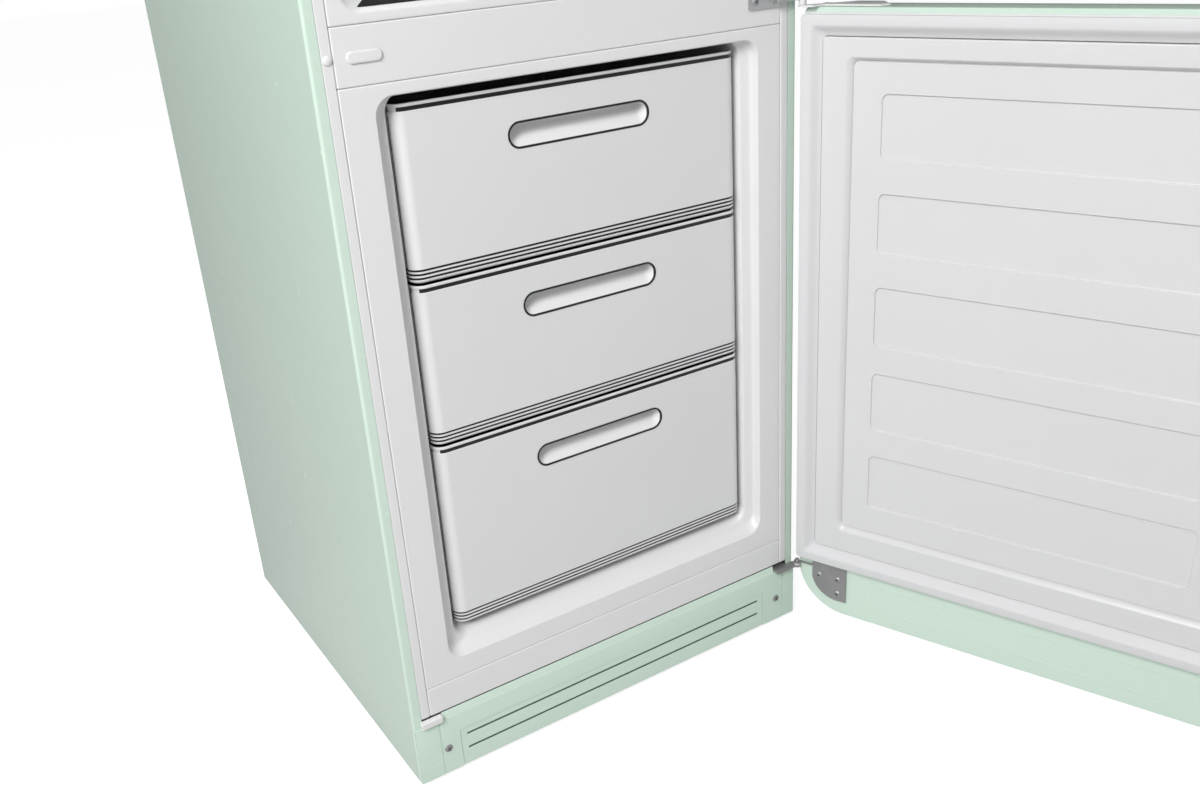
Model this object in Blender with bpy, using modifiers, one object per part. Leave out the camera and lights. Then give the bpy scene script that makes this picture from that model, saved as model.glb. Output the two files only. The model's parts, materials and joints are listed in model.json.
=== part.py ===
"""Retro two-door refrigerator: fridge compartment above, three-drawer freezer below.

Metres, +Z up. The cabinet is modelled about its own centre line: x = 0 is the middle of the
cabinet, y = 0 the plane of its front frame, with +y towards the back wall, and z = 0 the floor.
Both doors hang on the right, opened by DOOR_OPEN, and the drawers are pushed in. One empty
carries everything and stands the middle of the bounding box's base on the origin.
"""

import math

import bmesh
import bpy
from mathutils import Matrix, Vector

# ---------------------------------------------------------------- driving dimensions
CAB_W = 0.601  # cabinet width
CAB_H = 1.968  # floor to the top of the cabinet
CAB_D = 0.595  # front frame plane to the rear edge
FLOOR_GAP = 0.012  # floor to the underside of the side panels
GAP = 0.0003  # clearance between pieces that touch
SHEET = 0.001  # painted sheet steel
PLASTIC = 0.0025  # moulded plastic wall

TOP_R = 0.070  # outer radius of the cabinet's and the doors' big corners
EDGE_R = 0.004  # rounding of the side panels' front edge
RETURN_W = 0.012  # painted return beside the front frame
TRIM_W = 0.0117  # white strip beside the liner frames
PLINTH_H = 0.090
RAIL_H = 0.0386  # white rail above the plinth
FREEZER_FRAME_H = 0.7022
MULLION_H = 0.0569  # cover between the two compartments
HEADER_H = 0.0735  # painted panel above the fridge compartment

MOUTH_SIDE = 0.056  # cabinet edge to the compartment mouths
FREEZER_SILL = 0.0234  # frame edge to the mouth, below
FREEZER_HEAD = 0.0085
FRIDGE_SILL = 0.0145
FRIDGE_HEAD = 0.023
MOUTH_R = 0.020
WALL_R = 0.012  # corners between the compartments' walls
FREEZER_WALL = 0.020  # how far the freezer's walls stand inside its mouth
FRIDGE_WALL = 0.010
FREEZER_D = 0.490
FRIDGE_D = 0.530
HUMP_Y = 0.370  # freezer floor steps up here over the compressor bay
HUMP_H = 0.105

DOOR_OPEN = math.radians(111)
DOOR_T = 0.070  # door thickness without gasket and liner
DOOR_SEAT = 0.016  # frame plane to the closed door's inner face
DOOR_EDGE_R = 0.028
DOOR_SIDE_GAP = 0.0  # door edge inside the cabinet's side
DOOR_LOW = 0.018  # freezer door's lower edge above the side panels' lower edge
DOOR_SPLIT = 0.021  # gap between the doors, where the middle hinge lies
DOOR_TOP_GAP = 0.003
SKIRT_H = 0.084  # painted inner face between door end and gasket
GASKET_IN = 0.001
GASKET_W = 0.026
GASKET_END = 0.0058  # gasket to door edge at the middle
AXIS_OUT = 0.0005  # hinge axis outside the cabinet's side
AXIS_Y = -0.0105
PIN_R = 0.003
EYE_R = 0.005
PIN_PLAY = 0.0005
HINGE_INSET = 0.037  # width of the hinge seats in the plinth

DRAWER_SIDE = 0.0042  # drawer front to freezer wall
DRAWER_Y = 0.013  # drawer fronts behind the frame plane
DRAWER_TOP = 0.008  # freezer ceiling to the top drawer
DRAWER_GAP = 0.004
DRAWER_HEIGHTS = (0.1862, 0.1866)  # top and middle; the bottom drawer fills what is left
DRAWER_FLOOR = 0.0046  # freezer floor to the bottom drawer
DRAWER_CORNER = 0.020
DRAWER_WRAP = 0.036  # front wraps round the sides by this much
GRIP_W = 0.1835
GRIP_H = 0.0295
GRIP_DROP = 0.050  # drawer top to grip centre
GRIP_D = 0.020
BIN_SET = 0.0255  # drawer front to the bin behind it
BIN_LOW = 0.012  # bin rim below the front's top

SHELF_T = 0.004
SHELF_Y = 0.115
SHELF_BACK = 0.032  # shelf's rear edge to the compartment's back wall
SHELVES = 2  # free shelves, spread evenly above the crisper cover
CRISPER_H = 0.182
CRISPER_Y = 0.036
CRISPER_BACK = 0.110  # crisper to the compartment's back wall
LEDGE_T = 0.008
LEDGE_W = 0.012

BALCONY_D = 0.107
BALCONY_HEIGHTS = (0.120, 0.075, 0.075)  # trays in the fridge door, from the lowest up
BALCONY_LIFT = 0.006  # crisper cover to the lowest tray

COLOURS = {
    "enamel": ((0.56, 0.67, 0.59), 0.28, 0.0),
    "white": ((0.78, 0.78, 0.79), 0.38, 0.0),
    "silver": ((0.66, 0.66, 0.67), 0.34, 0.25),
    "gasket": ((0.70, 0.71, 0.72), 0.60, 0.0),
    "zinc": ((0.24, 0.23, 0.24), 0.38, 0.9),
    "nickel": ((0.56, 0.56, 0.57), 0.32, 0.9),
    "chrome": ((0.80, 0.80, 0.80), 0.08, 1.0),
    "black": ((0.02, 0.02, 0.02), 0.40, 0.0),
    "glass": ((0.86, 0.92, 0.90), 0.05, 0.0),
    "clear": ((0.88, 0.90, 0.91), 0.12, 0.0),
    "galvanised": ((0.48, 0.49, 0.50), 0.45, 0.8),
}

# ---------------------------------------------------------------- derived places
HALF = CAB_W / 2
BOTTOM = FLOOR_GAP
PLINTH_TOP = BOTTOM + PLINTH_H
FRAME_LOW = PLINTH_TOP + RAIL_H
FRAME_MID = FRAME_LOW + FREEZER_FRAME_H
FRIDGE_LOW = FRAME_MID + MULLION_H
FRIDGE_TOP = CAB_H - HEADER_H
FRAME_X = HALF - RETURN_W - GAP - TRIM_W - GAP  # half width of liner frames, rail and mullion
MOUTH_X = HALF - MOUTH_SIDE

FREEZER_X = MOUTH_X - FREEZER_WALL
FREEZER_FLOOR = FRAME_LOW + FREEZER_SILL + 0.033
FREEZER_CEIL = FRAME_MID - FREEZER_HEAD - 0.009
FRIDGE_X = MOUTH_X - FRIDGE_WALL
FRIDGE_FLOOR = FRIDGE_LOW + FRIDGE_SILL + 0.011
FRIDGE_CEIL = FRIDGE_TOP - FRIDGE_HEAD - 0.0165

AXIS_X = HALF + AXIS_OUT
DOOR_X = HALF - DOOR_SIDE_GAP
DOOR_IN = -DOOR_SEAT
DOOR_OUT = DOOR_IN - DOOR_T
FDOOR_LOW = BOTTOM + DOOR_LOW
SPLIT = (FRAME_MID + FRIDGE_LOW) / 2 - 0.0013
FDOOR_TOP = SPLIT - DOOR_SPLIT / 2
RDOOR_LOW = SPLIT + DOOR_SPLIT / 2
RDOOR_TOP = CAB_H - DOOR_TOP_GAP
GASKET_X = DOOR_X - GASKET_IN

DRAWER_X = FREEZER_X - DRAWER_SIDE
BIN_X = DRAWER_X - PLASTIC - GAP

CRISPER_TOP = FRIDGE_FLOOR + GAP + CRISPER_H
COVER_Z = CRISPER_TOP + 0.006
SHELF_BACK_Y = FRIDGE_D - SHELF_BACK
SHELF_PITCH = (FRIDGE_CEIL - COVER_Z) / (SHELVES + 1)
SHELF_RISES = tuple(SHELF_PITCH * (i + 1) for i in range(SHELVES))
RIB_IN = 0.090  # door moulding's inner rim inside the seal's edge
BALCONY_LOW = COVER_Z + SHELF_T + BALCONY_LIFT
BALCONY_ROOM = RDOOR_TOP - SKIRT_H - RIB_IN - BALCONY_LOW - sum(BALCONY_HEIGHTS)


# ---------------------------------------------------------------- general helpers
def clear_scene():
    """Removes every object, so that the model starts from nothing."""
    for ob in list(bpy.data.objects):
        bpy.data.objects.remove(ob, do_unlink=True)


def new_collection(name):
    coll = bpy.data.collections.new(name)
    bpy.context.scene.collection.children.link(coll)
    return coll


def finish(name, kind):
    """A Principled material of one finish, for one part."""
    colour, rough, metal = COLOURS[kind]
    mat = bpy.data.materials.new(name)
    mat.use_nodes = True
    shader = mat.node_tree.nodes["Principled BSDF"]
    shader.inputs["Base Color"].default_value = (*colour, 1.0)
    shader.inputs["Roughness"].default_value = rough
    shader.inputs["Metallic"].default_value = metal
    mat.diffuse_color = (*colour, 1.0)
    return mat


def place(name, mesh, kind, parent, smooth=True):
    """Links a mesh, drawn in the cabinet's coordinates, under its parent empty."""
    ob = bpy.data.objects.new(name, mesh)
    PARTS.objects.link(ob)
    mesh.materials.clear()
    mesh.materials.append(finish(name, kind))
    if smooth:
        mesh.shade_smooth()
        mesh.set_sharp_from_angle(angle=math.radians(35))
    ob.parent = parent
    # a group's empty stands on its joint's axis, so the drawing is shifted back by that much
    ob.location = -Vector(parent.get("seat", (0.0, 0.0, 0.0)))
    return ob


def empty(name, parent, seat, turn=0.0):
    """An empty on a joint's axis, at a place of the cabinet, turned about +Z."""
    ob = bpy.data.objects.new(name, None)
    PARTS.objects.link(ob)
    ob.parent = parent
    base = Vector(parent.get("seat", (0.0, 0.0, 0.0))) if parent else Vector()
    ob.location = Vector(seat) - base
    ob.rotation_euler = (0.0, 0.0, turn)
    ob["seat"] = tuple(seat)
    return ob


def to_mesh(bm, name):
    mesh = bpy.data.meshes.new(name)
    bm.to_mesh(mesh)
    bm.free()
    return mesh


def box_mesh(name, low, high):
    """A box from a unit cube, between two corners."""
    size = [b - a for a, b in zip(low, high)]
    middle = [(a + b) / 2 for a, b in zip(low, high)]
    bm = bmesh.new()
    matrix = Matrix.Translation(middle) @ Matrix.Diagonal((*size, 1.0))
    bmesh.ops.create_cube(bm, size=1.0, matrix=matrix)
    return to_mesh(bm, name)


def rod_mesh(name, start, end, r1, r2=None, sides=20):
    """A cylinder or a cone between two points."""
    a = Vector(start)
    b = Vector(end)
    turn = (b - a).to_track_quat("Z", "Y").to_matrix().to_4x4()
    matrix = Matrix.Translation((a + b) / 2) @ turn
    bm = bmesh.new()
    bmesh.ops.create_cone(
        bm,
        cap_ends=True,
        segments=sides,
        radius1=r1,
        radius2=r1 if r2 is None else r2,
        depth=(b - a).length,
        matrix=matrix,
    )
    return to_mesh(bm, name)


def bevel(ob, width, segments=1):
    mod = ob.modifiers.new("Bevel", "BEVEL")
    mod.width = width
    mod.segments = segments
    mod.limit_method = "ANGLE"
    mod.angle_limit = math.radians(40)
    return ob


def box(name, low, high, kind, parent, round_by=0.0, segments=1):
    ob = place(name, box_mesh(name, low, high), kind, parent)
    if round_by:
        bevel(ob, round_by, segments)
    return ob


def scratch(mesh):
    """An object that only lends its shape to a Boolean."""
    ob = bpy.data.objects.new("tool_" + mesh.name, mesh)
    CUTTERS.objects.link(ob)
    ob.hide_render = True
    ob.display_type = "WIRE"
    return ob


def combine(mesh, extra, operation="UNION"):
    """One mesh with others added to it or cut from it, one after another."""
    for part in extra:
        base = scratch(mesh)
        tool = scratch(part)
        mod = base.modifiers.new("Boolean", "BOOLEAN")
        mod.operation = operation
        mod.solver = "EXACT"
        mod.object = tool
        bpy.context.view_layer.update()
        depsgraph = bpy.context.evaluated_depsgraph_get()
        mesh = bpy.data.meshes.new_from_object(base.evaluated_get(depsgraph))
        bpy.data.objects.remove(base, do_unlink=True)
        bpy.data.objects.remove(tool, do_unlink=True)
    return mesh


def curve_mesh(curve):
    """A curve's evaluated mesh, with its caps welded on."""
    ob = bpy.data.objects.new("path", curve)
    CUTTERS.objects.link(ob)
    bpy.context.view_layer.update()
    depsgraph = bpy.context.evaluated_depsgraph_get()
    mesh = bpy.data.meshes.new_from_object(ob.evaluated_get(depsgraph))
    bpy.data.objects.remove(ob, do_unlink=True)
    bm = bmesh.new()
    bm.from_mesh(mesh)
    bmesh.ops.remove_doubles(bm, verts=bm.verts, dist=0.00001)
    bmesh.ops.recalc_face_normals(bm, faces=bm.faces)
    return to_mesh(bm, "curve")


def outline_mesh(name, outlines, thickness, frame):
    """A flat plate from closed outlines, the inner ones being holes.

    frame turns the outline's own x, y and thickness directions into the cabinet's.
    """
    curve = bpy.data.curves.new(name, "CURVE")
    curve.dimensions = "2D"
    curve.fill_mode = "BOTH"
    curve.extrude = thickness / 2
    for points in outlines:
        spline = curve.splines.new("POLY")
        spline.points.add(len(points) - 1)
        for point, (u, v) in zip(spline.points, points):
            point.co = (u, v, 0.0, 1.0)
        spline.use_cyclic_u = True
    mesh = curve_mesh(curve)
    mesh.transform(frame)
    if frame.determinant() < 0:
        mesh.flip_normals()
    return mesh


def facing_front(y_front, thickness):
    """Turns an outline drawn in x and z into a plate standing in the cabinet's front."""
    turn = Matrix(((1, 0, 0, 0), (0, 0, 1, 0), (0, 1, 0, 0), (0, 0, 0, 1)))
    return Matrix.Translation((0.0, y_front + thickness / 2, 0.0)) @ turn


def lying(z_low, thickness):
    """Places an outline drawn in x and y as a plate lying at a height."""
    return Matrix.Translation((0.0, 0.0, z_low + thickness / 2))


def rounded(x0, x1, z0, z1, radii, segments=4):
    """A rectangle's outline with rounded corners, anticlockwise from its lower left.

    radii is one radius, or four for the lower left, lower right, upper right and upper left.
    """
    if not isinstance(radii, tuple):
        radii = (radii,) * 4
    corners = (
        (x0, z0, 1, 1, 180),
        (x1, z0, -1, 1, 270),
        (x1, z1, -1, -1, 0),
        (x0, z1, 1, -1, 90),
    )
    points = []
    for (x, z, sx, sz, start), r in zip(corners, radii):
        for i in range(segments + 1):
            angle = math.radians(start + 90 * i / segments)
            points.append((x + sx * r + r * math.cos(angle), z + sz * r + r * math.sin(angle)))
    return points


def arch(offset, low, segments=6):
    """The cabinet's outline inside its sides and top by an offset, from lower right to left."""
    side = HALF - offset
    top = CAB_H - offset
    r = TOP_R - offset
    points = [(side, low)]
    for sx, start in ((1, 0), (-1, 90)):
        for i in range(segments + 1):
            angle = math.radians(start + 90 * i / segments)
            centre = sx * (side - r)
            points.append((centre + r * math.cos(angle), top - r + r * math.sin(angle)))
    points.append((-side, low))
    return points


def upright(points, y):
    return [Vector((x, y, z)) for x, z in points]


def level(points, z):
    return [Vector((x, y, z)) for x, y in points]


def loft_mesh(name, rings, closed=True, cap_end=False, loop=False):
    """Skin through outlines of equal length, each following the one before."""
    bm = bmesh.new()
    rows = [[bm.verts.new(p) for p in ring] for ring in rings]
    pairs = list(zip(rows, rows[1:]))
    if loop:
        pairs.append((rows[-1], rows[0]))
    count = len(rows[0])
    for a, b in pairs:
        for i in range(count if closed else count - 1):
            j = (i + 1) % count
            bm.faces.new((a[i], a[j], b[j], b[i]))
    if cap_end:
        bm.faces.new(rows[-1])
    if loop:
        bmesh.ops.recalc_face_normals(bm, faces=bm.faces)
    return to_mesh(bm, name)


def thicken(ob, thickness, side):
    """Solidify: side is 1 for growing along the skin's normals and -1 for against them."""
    mod = ob.modifiers.new("Solidify", "SOLIDIFY")
    mod.thickness = thickness
    mod.offset = side
    mod.use_even_offset = True
    mod.use_quality_normals = True
    return ob


def thick_mesh(mesh, thickness, side):
    """The mesh of a thickened skin, ready for a Boolean."""
    ob = thicken(scratch(mesh), thickness, side)
    bpy.context.view_layer.update()
    depsgraph = bpy.context.evaluated_depsgraph_get()
    solid = bpy.data.meshes.new_from_object(ob.evaluated_get(depsgraph))
    bpy.data.objects.remove(ob, do_unlink=True)
    return solid


def tray_mesh(name, x, y0, y1, z0, z1, wall, corner=0.012, draft=0.0):
    """An open-topped tray by its outer size, its foot narrower by the draft.

    corner is one radius, or four: front left, front right, rear right and rear left.
    """
    corners = corner if isinstance(corner, tuple) else (corner,) * 4
    rim = rounded(-x, x, y0, y1, corners, 3)
    foot = rounded(-x + draft, x - draft, y0 + draft, y1 - draft, corners, 3)
    floor = rounded(
        -x + draft + 0.004,
        x - draft - 0.004,
        y0 + draft + 0.004,
        y1 - draft - 0.004,
        tuple(r - 0.003 for r in corners),
        3,
    )
    rings = [level(rim, z1), level(foot, z0 + 0.004), level(floor, z0)]
    return thick_mesh(loft_mesh(name, rings, cap_end=True), wall, 1)


def turned(name, profile, centre, steps, kind, parent):
    """A turned piece from (radius, height) points running down its outer side."""
    bm = bmesh.new()
    verts = [bm.verts.new((r, 0.0, z)) for r, z in profile]
    for a, b in zip(verts, verts[1:]):
        bm.edges.new((a, b))
    ob = place(name, to_mesh(bm, name), kind, parent, smooth=False)
    ob.location = ob.location + Vector(centre)
    mod = ob.modifiers.new("Screw", "SCREW")
    mod.steps = steps
    mod.render_steps = steps
    mod.use_merge_vertices = True
    mod.merge_threshold = 0.00001
    mod.use_smooth_shade = True
    return ob


def eye_mesh(z0, z1, radius=EYE_R):
    """A disc round the hinge axis."""
    return rod_mesh("eye", (AXIS_X, AXIS_Y, z0), (AXIS_X, AXIS_Y, z1), radius, sides=20)


def pin_hole(z0, z1):
    """The hole that a door's hinge leaf has for the pin."""
    low = (AXIS_X, AXIS_Y, z0 - 0.002)
    high = (AXIS_X, AXIS_Y, z1 + 0.002)
    return rod_mesh("hole", low, high, PIN_R + PIN_PLAY, sides=16)


def screw_head(x, y, z, proud, r=0.0042):
    """A fixing screw's head standing on a plate whose face is at y."""
    return rod_mesh("head", (x, y + 0.0008, z), (x, y - proud, z), r, r * 0.75, sides=12)


# ---------------------------------------------------------------- cabinet
def cabinet_wrap(root):
    """Side panels and top in one bent sheet, with a rounded front edge and a narrow return."""
    rings = [upright(arch(RETURN_W, BOTTOM), 0.0)]
    for i in range(4):
        angle = math.radians(90 * i / 3)
        offset = EDGE_R * (1 - math.sin(angle))
        y = EDGE_R * (1 - math.cos(angle))
        rings.append(upright(arch(offset, BOTTOM), y))
    rings.append(upright(arch(0.0, BOTTOM), CAB_D))
    mesh = loft_mesh("cabinet_wrap", rings, closed=False)
    ob = place("cabinet_wrap", mesh, "enamel", root)
    thicken(ob, SHEET, 1)


def rear_panel(root):
    """Galvanised back sheet above the compressor bay, set in from the wrap's rear edge."""
    low = FREEZER_FLOOR + HUMP_H - 0.004
    outline = arch(SHEET + GAP, low)
    y = CAB_D - 0.030
    frame = facing_front(y, SHEET)
    place("rear_panel", outline_mesh("rear_panel", [outline], SHEET, frame), "galvanised", root)


def base_tray(root):
    """Folded steel pan that carries the feet and the compressor."""
    x = HALF - SHEET - GAP
    low = FLOOR_GAP + 0.018
    mesh = tray_mesh("base_tray", x, 0.012, CAB_D - 0.002, low, low + 0.040, 0.0015, 0.006)
    place("base_tray", mesh, "galvanised", root)


def feet(root):
    """Four levelling feet: a round pad with a threaded stem up to the pan."""
    top = FLOOR_GAP + 0.018 - GAP
    profile = [
        (0.0, top),
        (0.006, top),
        (0.006, 0.014),
        (0.016, 0.011),
        (0.020, 0.007),
        (0.020, 0.0),
        (0.0, 0.0),
    ]
    for side, sx in (("left", -1), ("right", 1)):
        for end, y in (("front", 0.055), ("rear", CAB_D - 0.050)):
            turned(f"foot_{end}_{side}", profile, (sx * (HALF - 0.045), y, 0.0), 16, "black", root)


def plinth(root):
    """Painted plinth cover with stepped ends for the hinge seats, and its slotted grille."""
    face = -0.0033
    inner = -GAP
    seat = PLINTH_TOP - 0.010
    left = -HALF + 0.0005
    right = HALF - 0.0005
    notch_x = HALF - 0.058
    notch_z = BOTTOM + 0.055
    step = HALF - HINGE_INSET - 0.0005
    outline = [
        (left, BOTTOM),
        (-notch_x, BOTTOM),
        (-notch_x, notch_z),
        (notch_x, notch_z),
        (notch_x, BOTTOM),
        (right, BOTTOM),
        (right, seat),
        (step, seat),
        (step, PLINTH_TOP - GAP),
        (-step, PLINTH_TOP - GAP),
        (-step, seat),
        (left, seat),
    ]
    frame = facing_front(face, inner - face)
    mesh = outline_mesh("plinth_cover", [outline], inner - face, frame)
    # the upper edge is chamfered back to the white rail
    low = PLINTH_TOP - 0.0075
    wedge = [(face - 0.002, low - 0.0053), (face - 0.002, PLINTH_TOP), (inner, PLINTH_TOP)]
    turn = Matrix(((0, 0, 1, 0), (1, 0, 0, 0), (0, 1, 0, 0), (0, 0, 0, 1)))
    cut = outline_mesh("chamfer", [wedge], CAB_W, turn)
    mesh = combine(mesh, [cut], "DIFFERENCE")
    heads = [screw_head(sx * (HALF - 0.037), face, BOTTOM + 0.036, 0.0015) for sx in (-1, 1)]
    place("plinth_cover", combine(mesh, heads), "enamel", root)

    border = 0.0005
    grille = rounded(-notch_x + border, notch_x - border, BOTTOM, notch_z - border, 0.001, 1)
    slots = []
    for rise in (0.0233, 0.0443):
        z = BOTTOM + rise
        slot_x = notch_x - 0.009
        slots.append(rounded(-slot_x, slot_x, z - 0.0017, z + 0.0017, 0.0016, 2)[::-1])
    frame = facing_front(face + 0.0008, 0.002)
    mesh = outline_mesh("plinth_grille", [grille] + slots, 0.002, frame)
    place("plinth_grille", mesh, "enamel", root)


def front_trims(root):
    """White strips beside the liner frames, the rail, the mullion cover and the header."""
    depth = 0.006
    outer = HALF - RETURN_W - GAP
    for side, sx in (("left", -1), ("right", 1)):
        xs = sorted((sx * outer, sx * (outer - TRIM_W)))
        low = (xs[0], 0.0, PLINTH_TOP)
        high = (xs[1], depth, FRIDGE_TOP)
        box(f"side_trim_{side}", low, high, "white", root, 0.0006)
    low = (-FRAME_X, 0.0, PLINTH_TOP)
    high = (FRAME_X, depth, FRAME_LOW - GAP)
    box("bottom_rail", low, high, "white", root, 0.0006)
    low = (-FRAME_X, 0.0, FRAME_MID + GAP)
    high = (FRAME_X, depth, FRIDGE_LOW - GAP)
    box("mullion_cover", low, high, "white", root, 0.0006)
    outline = arch(RETURN_W + GAP, FRIDGE_TOP + GAP)
    mesh = outline_mesh("top_header", [outline], 0.0015, facing_front(0.0, 0.0015))
    place("top_header", mesh, "enamel", root)


def front_plugs(root):
    """Blanking plugs for the screw holes that a left-hung door would use."""
    x = -HALF + 0.0555
    outline = rounded(x - 0.0185, x + 0.0185, SPLIT - 0.0055, SPLIT + 0.0065, 0.0058, 5)
    mesh = outline_mesh("oval_plug", [outline], 0.0022, facing_front(-GAP - 0.0022, 0.0022))
    place("oval_plug", mesh, "white", root)
    x = -HALF + 0.0185
    profile = [(0.0, 0.0021), (0.003, 0.0018), (0.005, 0.0008), (0.005, 0.0), (0.0, 0.0)]
    ob = turned("round_plug", profile, (x, -GAP, SPLIT + 0.0005), 16, "white", root)
    ob.rotation_euler = (math.radians(90), 0.0, 0.0)
    low = (-HALF + 0.009, -0.0085, PLINTH_TOP - 0.0097)
    high = (-HALF + HINGE_INSET, -GAP, PLINTH_TOP - GAP)
    box("hinge_cap", low, high, "white", root, 0.0012)


def liner_ledges(x, levels, y0, y1, width, thickness):
    """Pairs of moulded ledges reaching in from both side walls, by their upper faces."""
    ledges = []
    for z in levels:
        for sx in (-1, 1):
            xs = sorted((sx * (x - width), sx * (x + 0.0015)))
            ledges.append(box_mesh("ledge", (xs[0], y0, z - thickness), (xs[1], y1, z)))
    return ledges


def freezer_liner(root):
    """White frame and freezer compartment in one moulding, with a stepped throat."""
    x = FRAME_X
    m = MOUTH_X
    low = FRAME_LOW + FREEZER_SILL
    high = FRAME_MID - FREEZER_HEAD
    w = FREEZER_X
    rise = FREEZER_FLOOR
    ceil = FREEZER_CEIL
    outlines = [
        (rounded(-x, x, FRAME_LOW, FRAME_MID, 0.0015), 0.0),
        (rounded(-m, m, low, high, MOUTH_R), 0.0),
        (rounded(-m + 0.003, m - 0.003, low + 0.004, high - 0.002, MOUTH_R), 0.003),
        (rounded(-w - 0.003, w + 0.003, rise - 0.018, ceil + 0.005, 0.022), 0.014),
        (rounded(-w - 0.001, w + 0.001, rise - 0.010, ceil + 0.003, 0.018), 0.021),
        (rounded(-w, w, rise, ceil, WALL_R), 0.030),
        (rounded(-w, w, rise, ceil, WALL_R), HUMP_Y),
        (rounded(-w, w, rise + HUMP_H, ceil, WALL_R), HUMP_Y + 0.025),
        (rounded(-w, w, rise + HUMP_H, ceil, WALL_R), FREEZER_D - 0.012),
        (rounded(-w + 0.01, w - 0.01, rise + HUMP_H + 0.01, ceil - 0.01, 0.006), FREEZER_D),
    ]
    rings = [upright(points, y) for points, y in outlines]
    mesh = thick_mesh(loft_mesh("freezer_liner", rings, cap_end=True), PLASTIC, -1)
    levels = [low_z - GAP for low_z, _ in drawer_levels()]
    ledges = liner_ledges(w, levels[:2], 0.052, FREEZER_D - 0.03, 0.011, 0.0034)
    ledges += liner_ledges(w, levels[2:], 0.052, HUMP_Y - 0.004, 0.011, 0.0055)
    place("freezer_liner", combine(mesh, ledges), "white", root)


def fridge_liner(root):
    """White frame and fridge compartment in one moulding, with ledges for the shelves."""
    x = FRAME_X
    m = MOUTH_X
    low = FRIDGE_LOW + FRIDGE_SILL
    high = FRIDGE_TOP - FRIDGE_HEAD
    w = FRIDGE_X
    outlines = [
        (rounded(-x, x, FRIDGE_LOW, FRIDGE_TOP - GAP, 0.0015), 0.0),
        (rounded(-m, m, low, high, MOUTH_R), 0.0),
        (rounded(-m + 0.003, m - 0.003, low + 0.003, high - 0.003, MOUTH_R), 0.003),
        (rounded(-w, w, FRIDGE_FLOOR, FRIDGE_CEIL, WALL_R), 0.022),
        (rounded(-w, w, FRIDGE_FLOOR, FRIDGE_CEIL, WALL_R), FRIDGE_D - 0.012),
        (
            rounded(-w + 0.01, w - 0.01, FRIDGE_FLOOR + 0.01, FRIDGE_CEIL - 0.01, 0.006),
            FRIDGE_D,
        ),
    ]
    rings = [upright(points, y) for points, y in outlines]
    mesh = thick_mesh(loft_mesh("fridge_liner", rings, cap_end=True), PLASTIC, -1)
    levels = [COVER_Z - GAP] + [COVER_Z + rise - GAP for rise in SHELF_RISES]
    ledges = liner_ledges(w, levels, 0.125, SHELF_BACK_Y, LEDGE_W, LEDGE_T)
    place("fridge_liner", combine(mesh, ledges), "white", root)


def hinge_brackets(root):
    """Fixed hinge parts: a tongue with a pin below, between and above the doors."""
    inner = HALF - HINGE_INSET
    tongue = 0.004
    # bottom: a plate over the plinth's right seat, turned down onto the pan
    z = BOTTOM + 0.0805
    behind = HALF - RETURN_W - 0.0015
    mesh = box_mesh("bottom_hinge_bracket", (inner, -0.0118, z), (AXIS_X, -0.0005, z + tongue))
    extra = [
        box_mesh("back", (inner, -0.002, z), (behind, 0.0420, z + tongue)),
        box_mesh("leg", (inner, 0.0390, BOTTOM + 0.0215), (behind, 0.0420, z + 0.001)),
        eye_mesh(z, z + tongue),
        eye_mesh(z + tongue - 0.001, z + tongue + 0.0017, EYE_R * 0.9),
        eye_mesh(z - 0.001, z + tongue + 0.0085, PIN_R),
    ]
    place("bottom_hinge_bracket", combine(mesh, extra), "zinc", root)

    # middle: an arm out to the pin between the doors, from a plate on the mullion
    z = SPLIT - 0.002
    plate_x0 = HALF - 0.074
    plate_x1 = HALF - 0.027
    plate = box_mesh("middle_hinge_bracket", (plate_x0, -0.0033, z - 0.005), (plate_x1, -GAP, z + 0.015))
    extra = [
        box_mesh("arm", (plate_x1 - 0.012, -0.0118, z), (AXIS_X, -0.0008, z + tongue)),
        eye_mesh(z, z + tongue),
        eye_mesh(FDOOR_TOP + 0.0029, RDOOR_LOW - 0.0036, EYE_R * 0.9),
        eye_mesh(FDOOR_TOP + GAP + 0.0002, RDOOR_LOW - GAP - 0.0002, PIN_R),
    ]
    extra += [screw_head(x, -0.0033, z + 0.009, 0.0015) for x in (plate_x0 + 0.011, plate_x1 - 0.012)]
    place("middle_hinge_bracket", combine(plate, extra), "nickel", root)

    # top: the bottom one's mirror image, screwed to the header
    z = RDOOR_TOP - (BOTTOM + 0.0805 - FDOOR_LOW)
    plate = box_mesh("top_hinge_bracket", (plate_x0, -0.0033, z - 0.004), (plate_x1, -GAP, z + 0.030))
    extra = [
        box_mesh("arm", (plate_x1 - 0.010, -0.0118, z - tongue), (AXIS_X, -0.0005, z)),
        eye_mesh(z - tongue, z),
        eye_mesh(z - tongue - 0.0017, z - tongue + 0.001, EYE_R * 0.9),
        eye_mesh(z - tongue - 0.0085, z + 0.001, PIN_R),
    ]
    extra += [screw_head(x, -0.0033, z + 0.018, 0.0015) for x in (plate_x0 + 0.011, plate_x1 - 0.012)]
    place("top_hinge_bracket", combine(plate, extra), "zinc", root)


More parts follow.
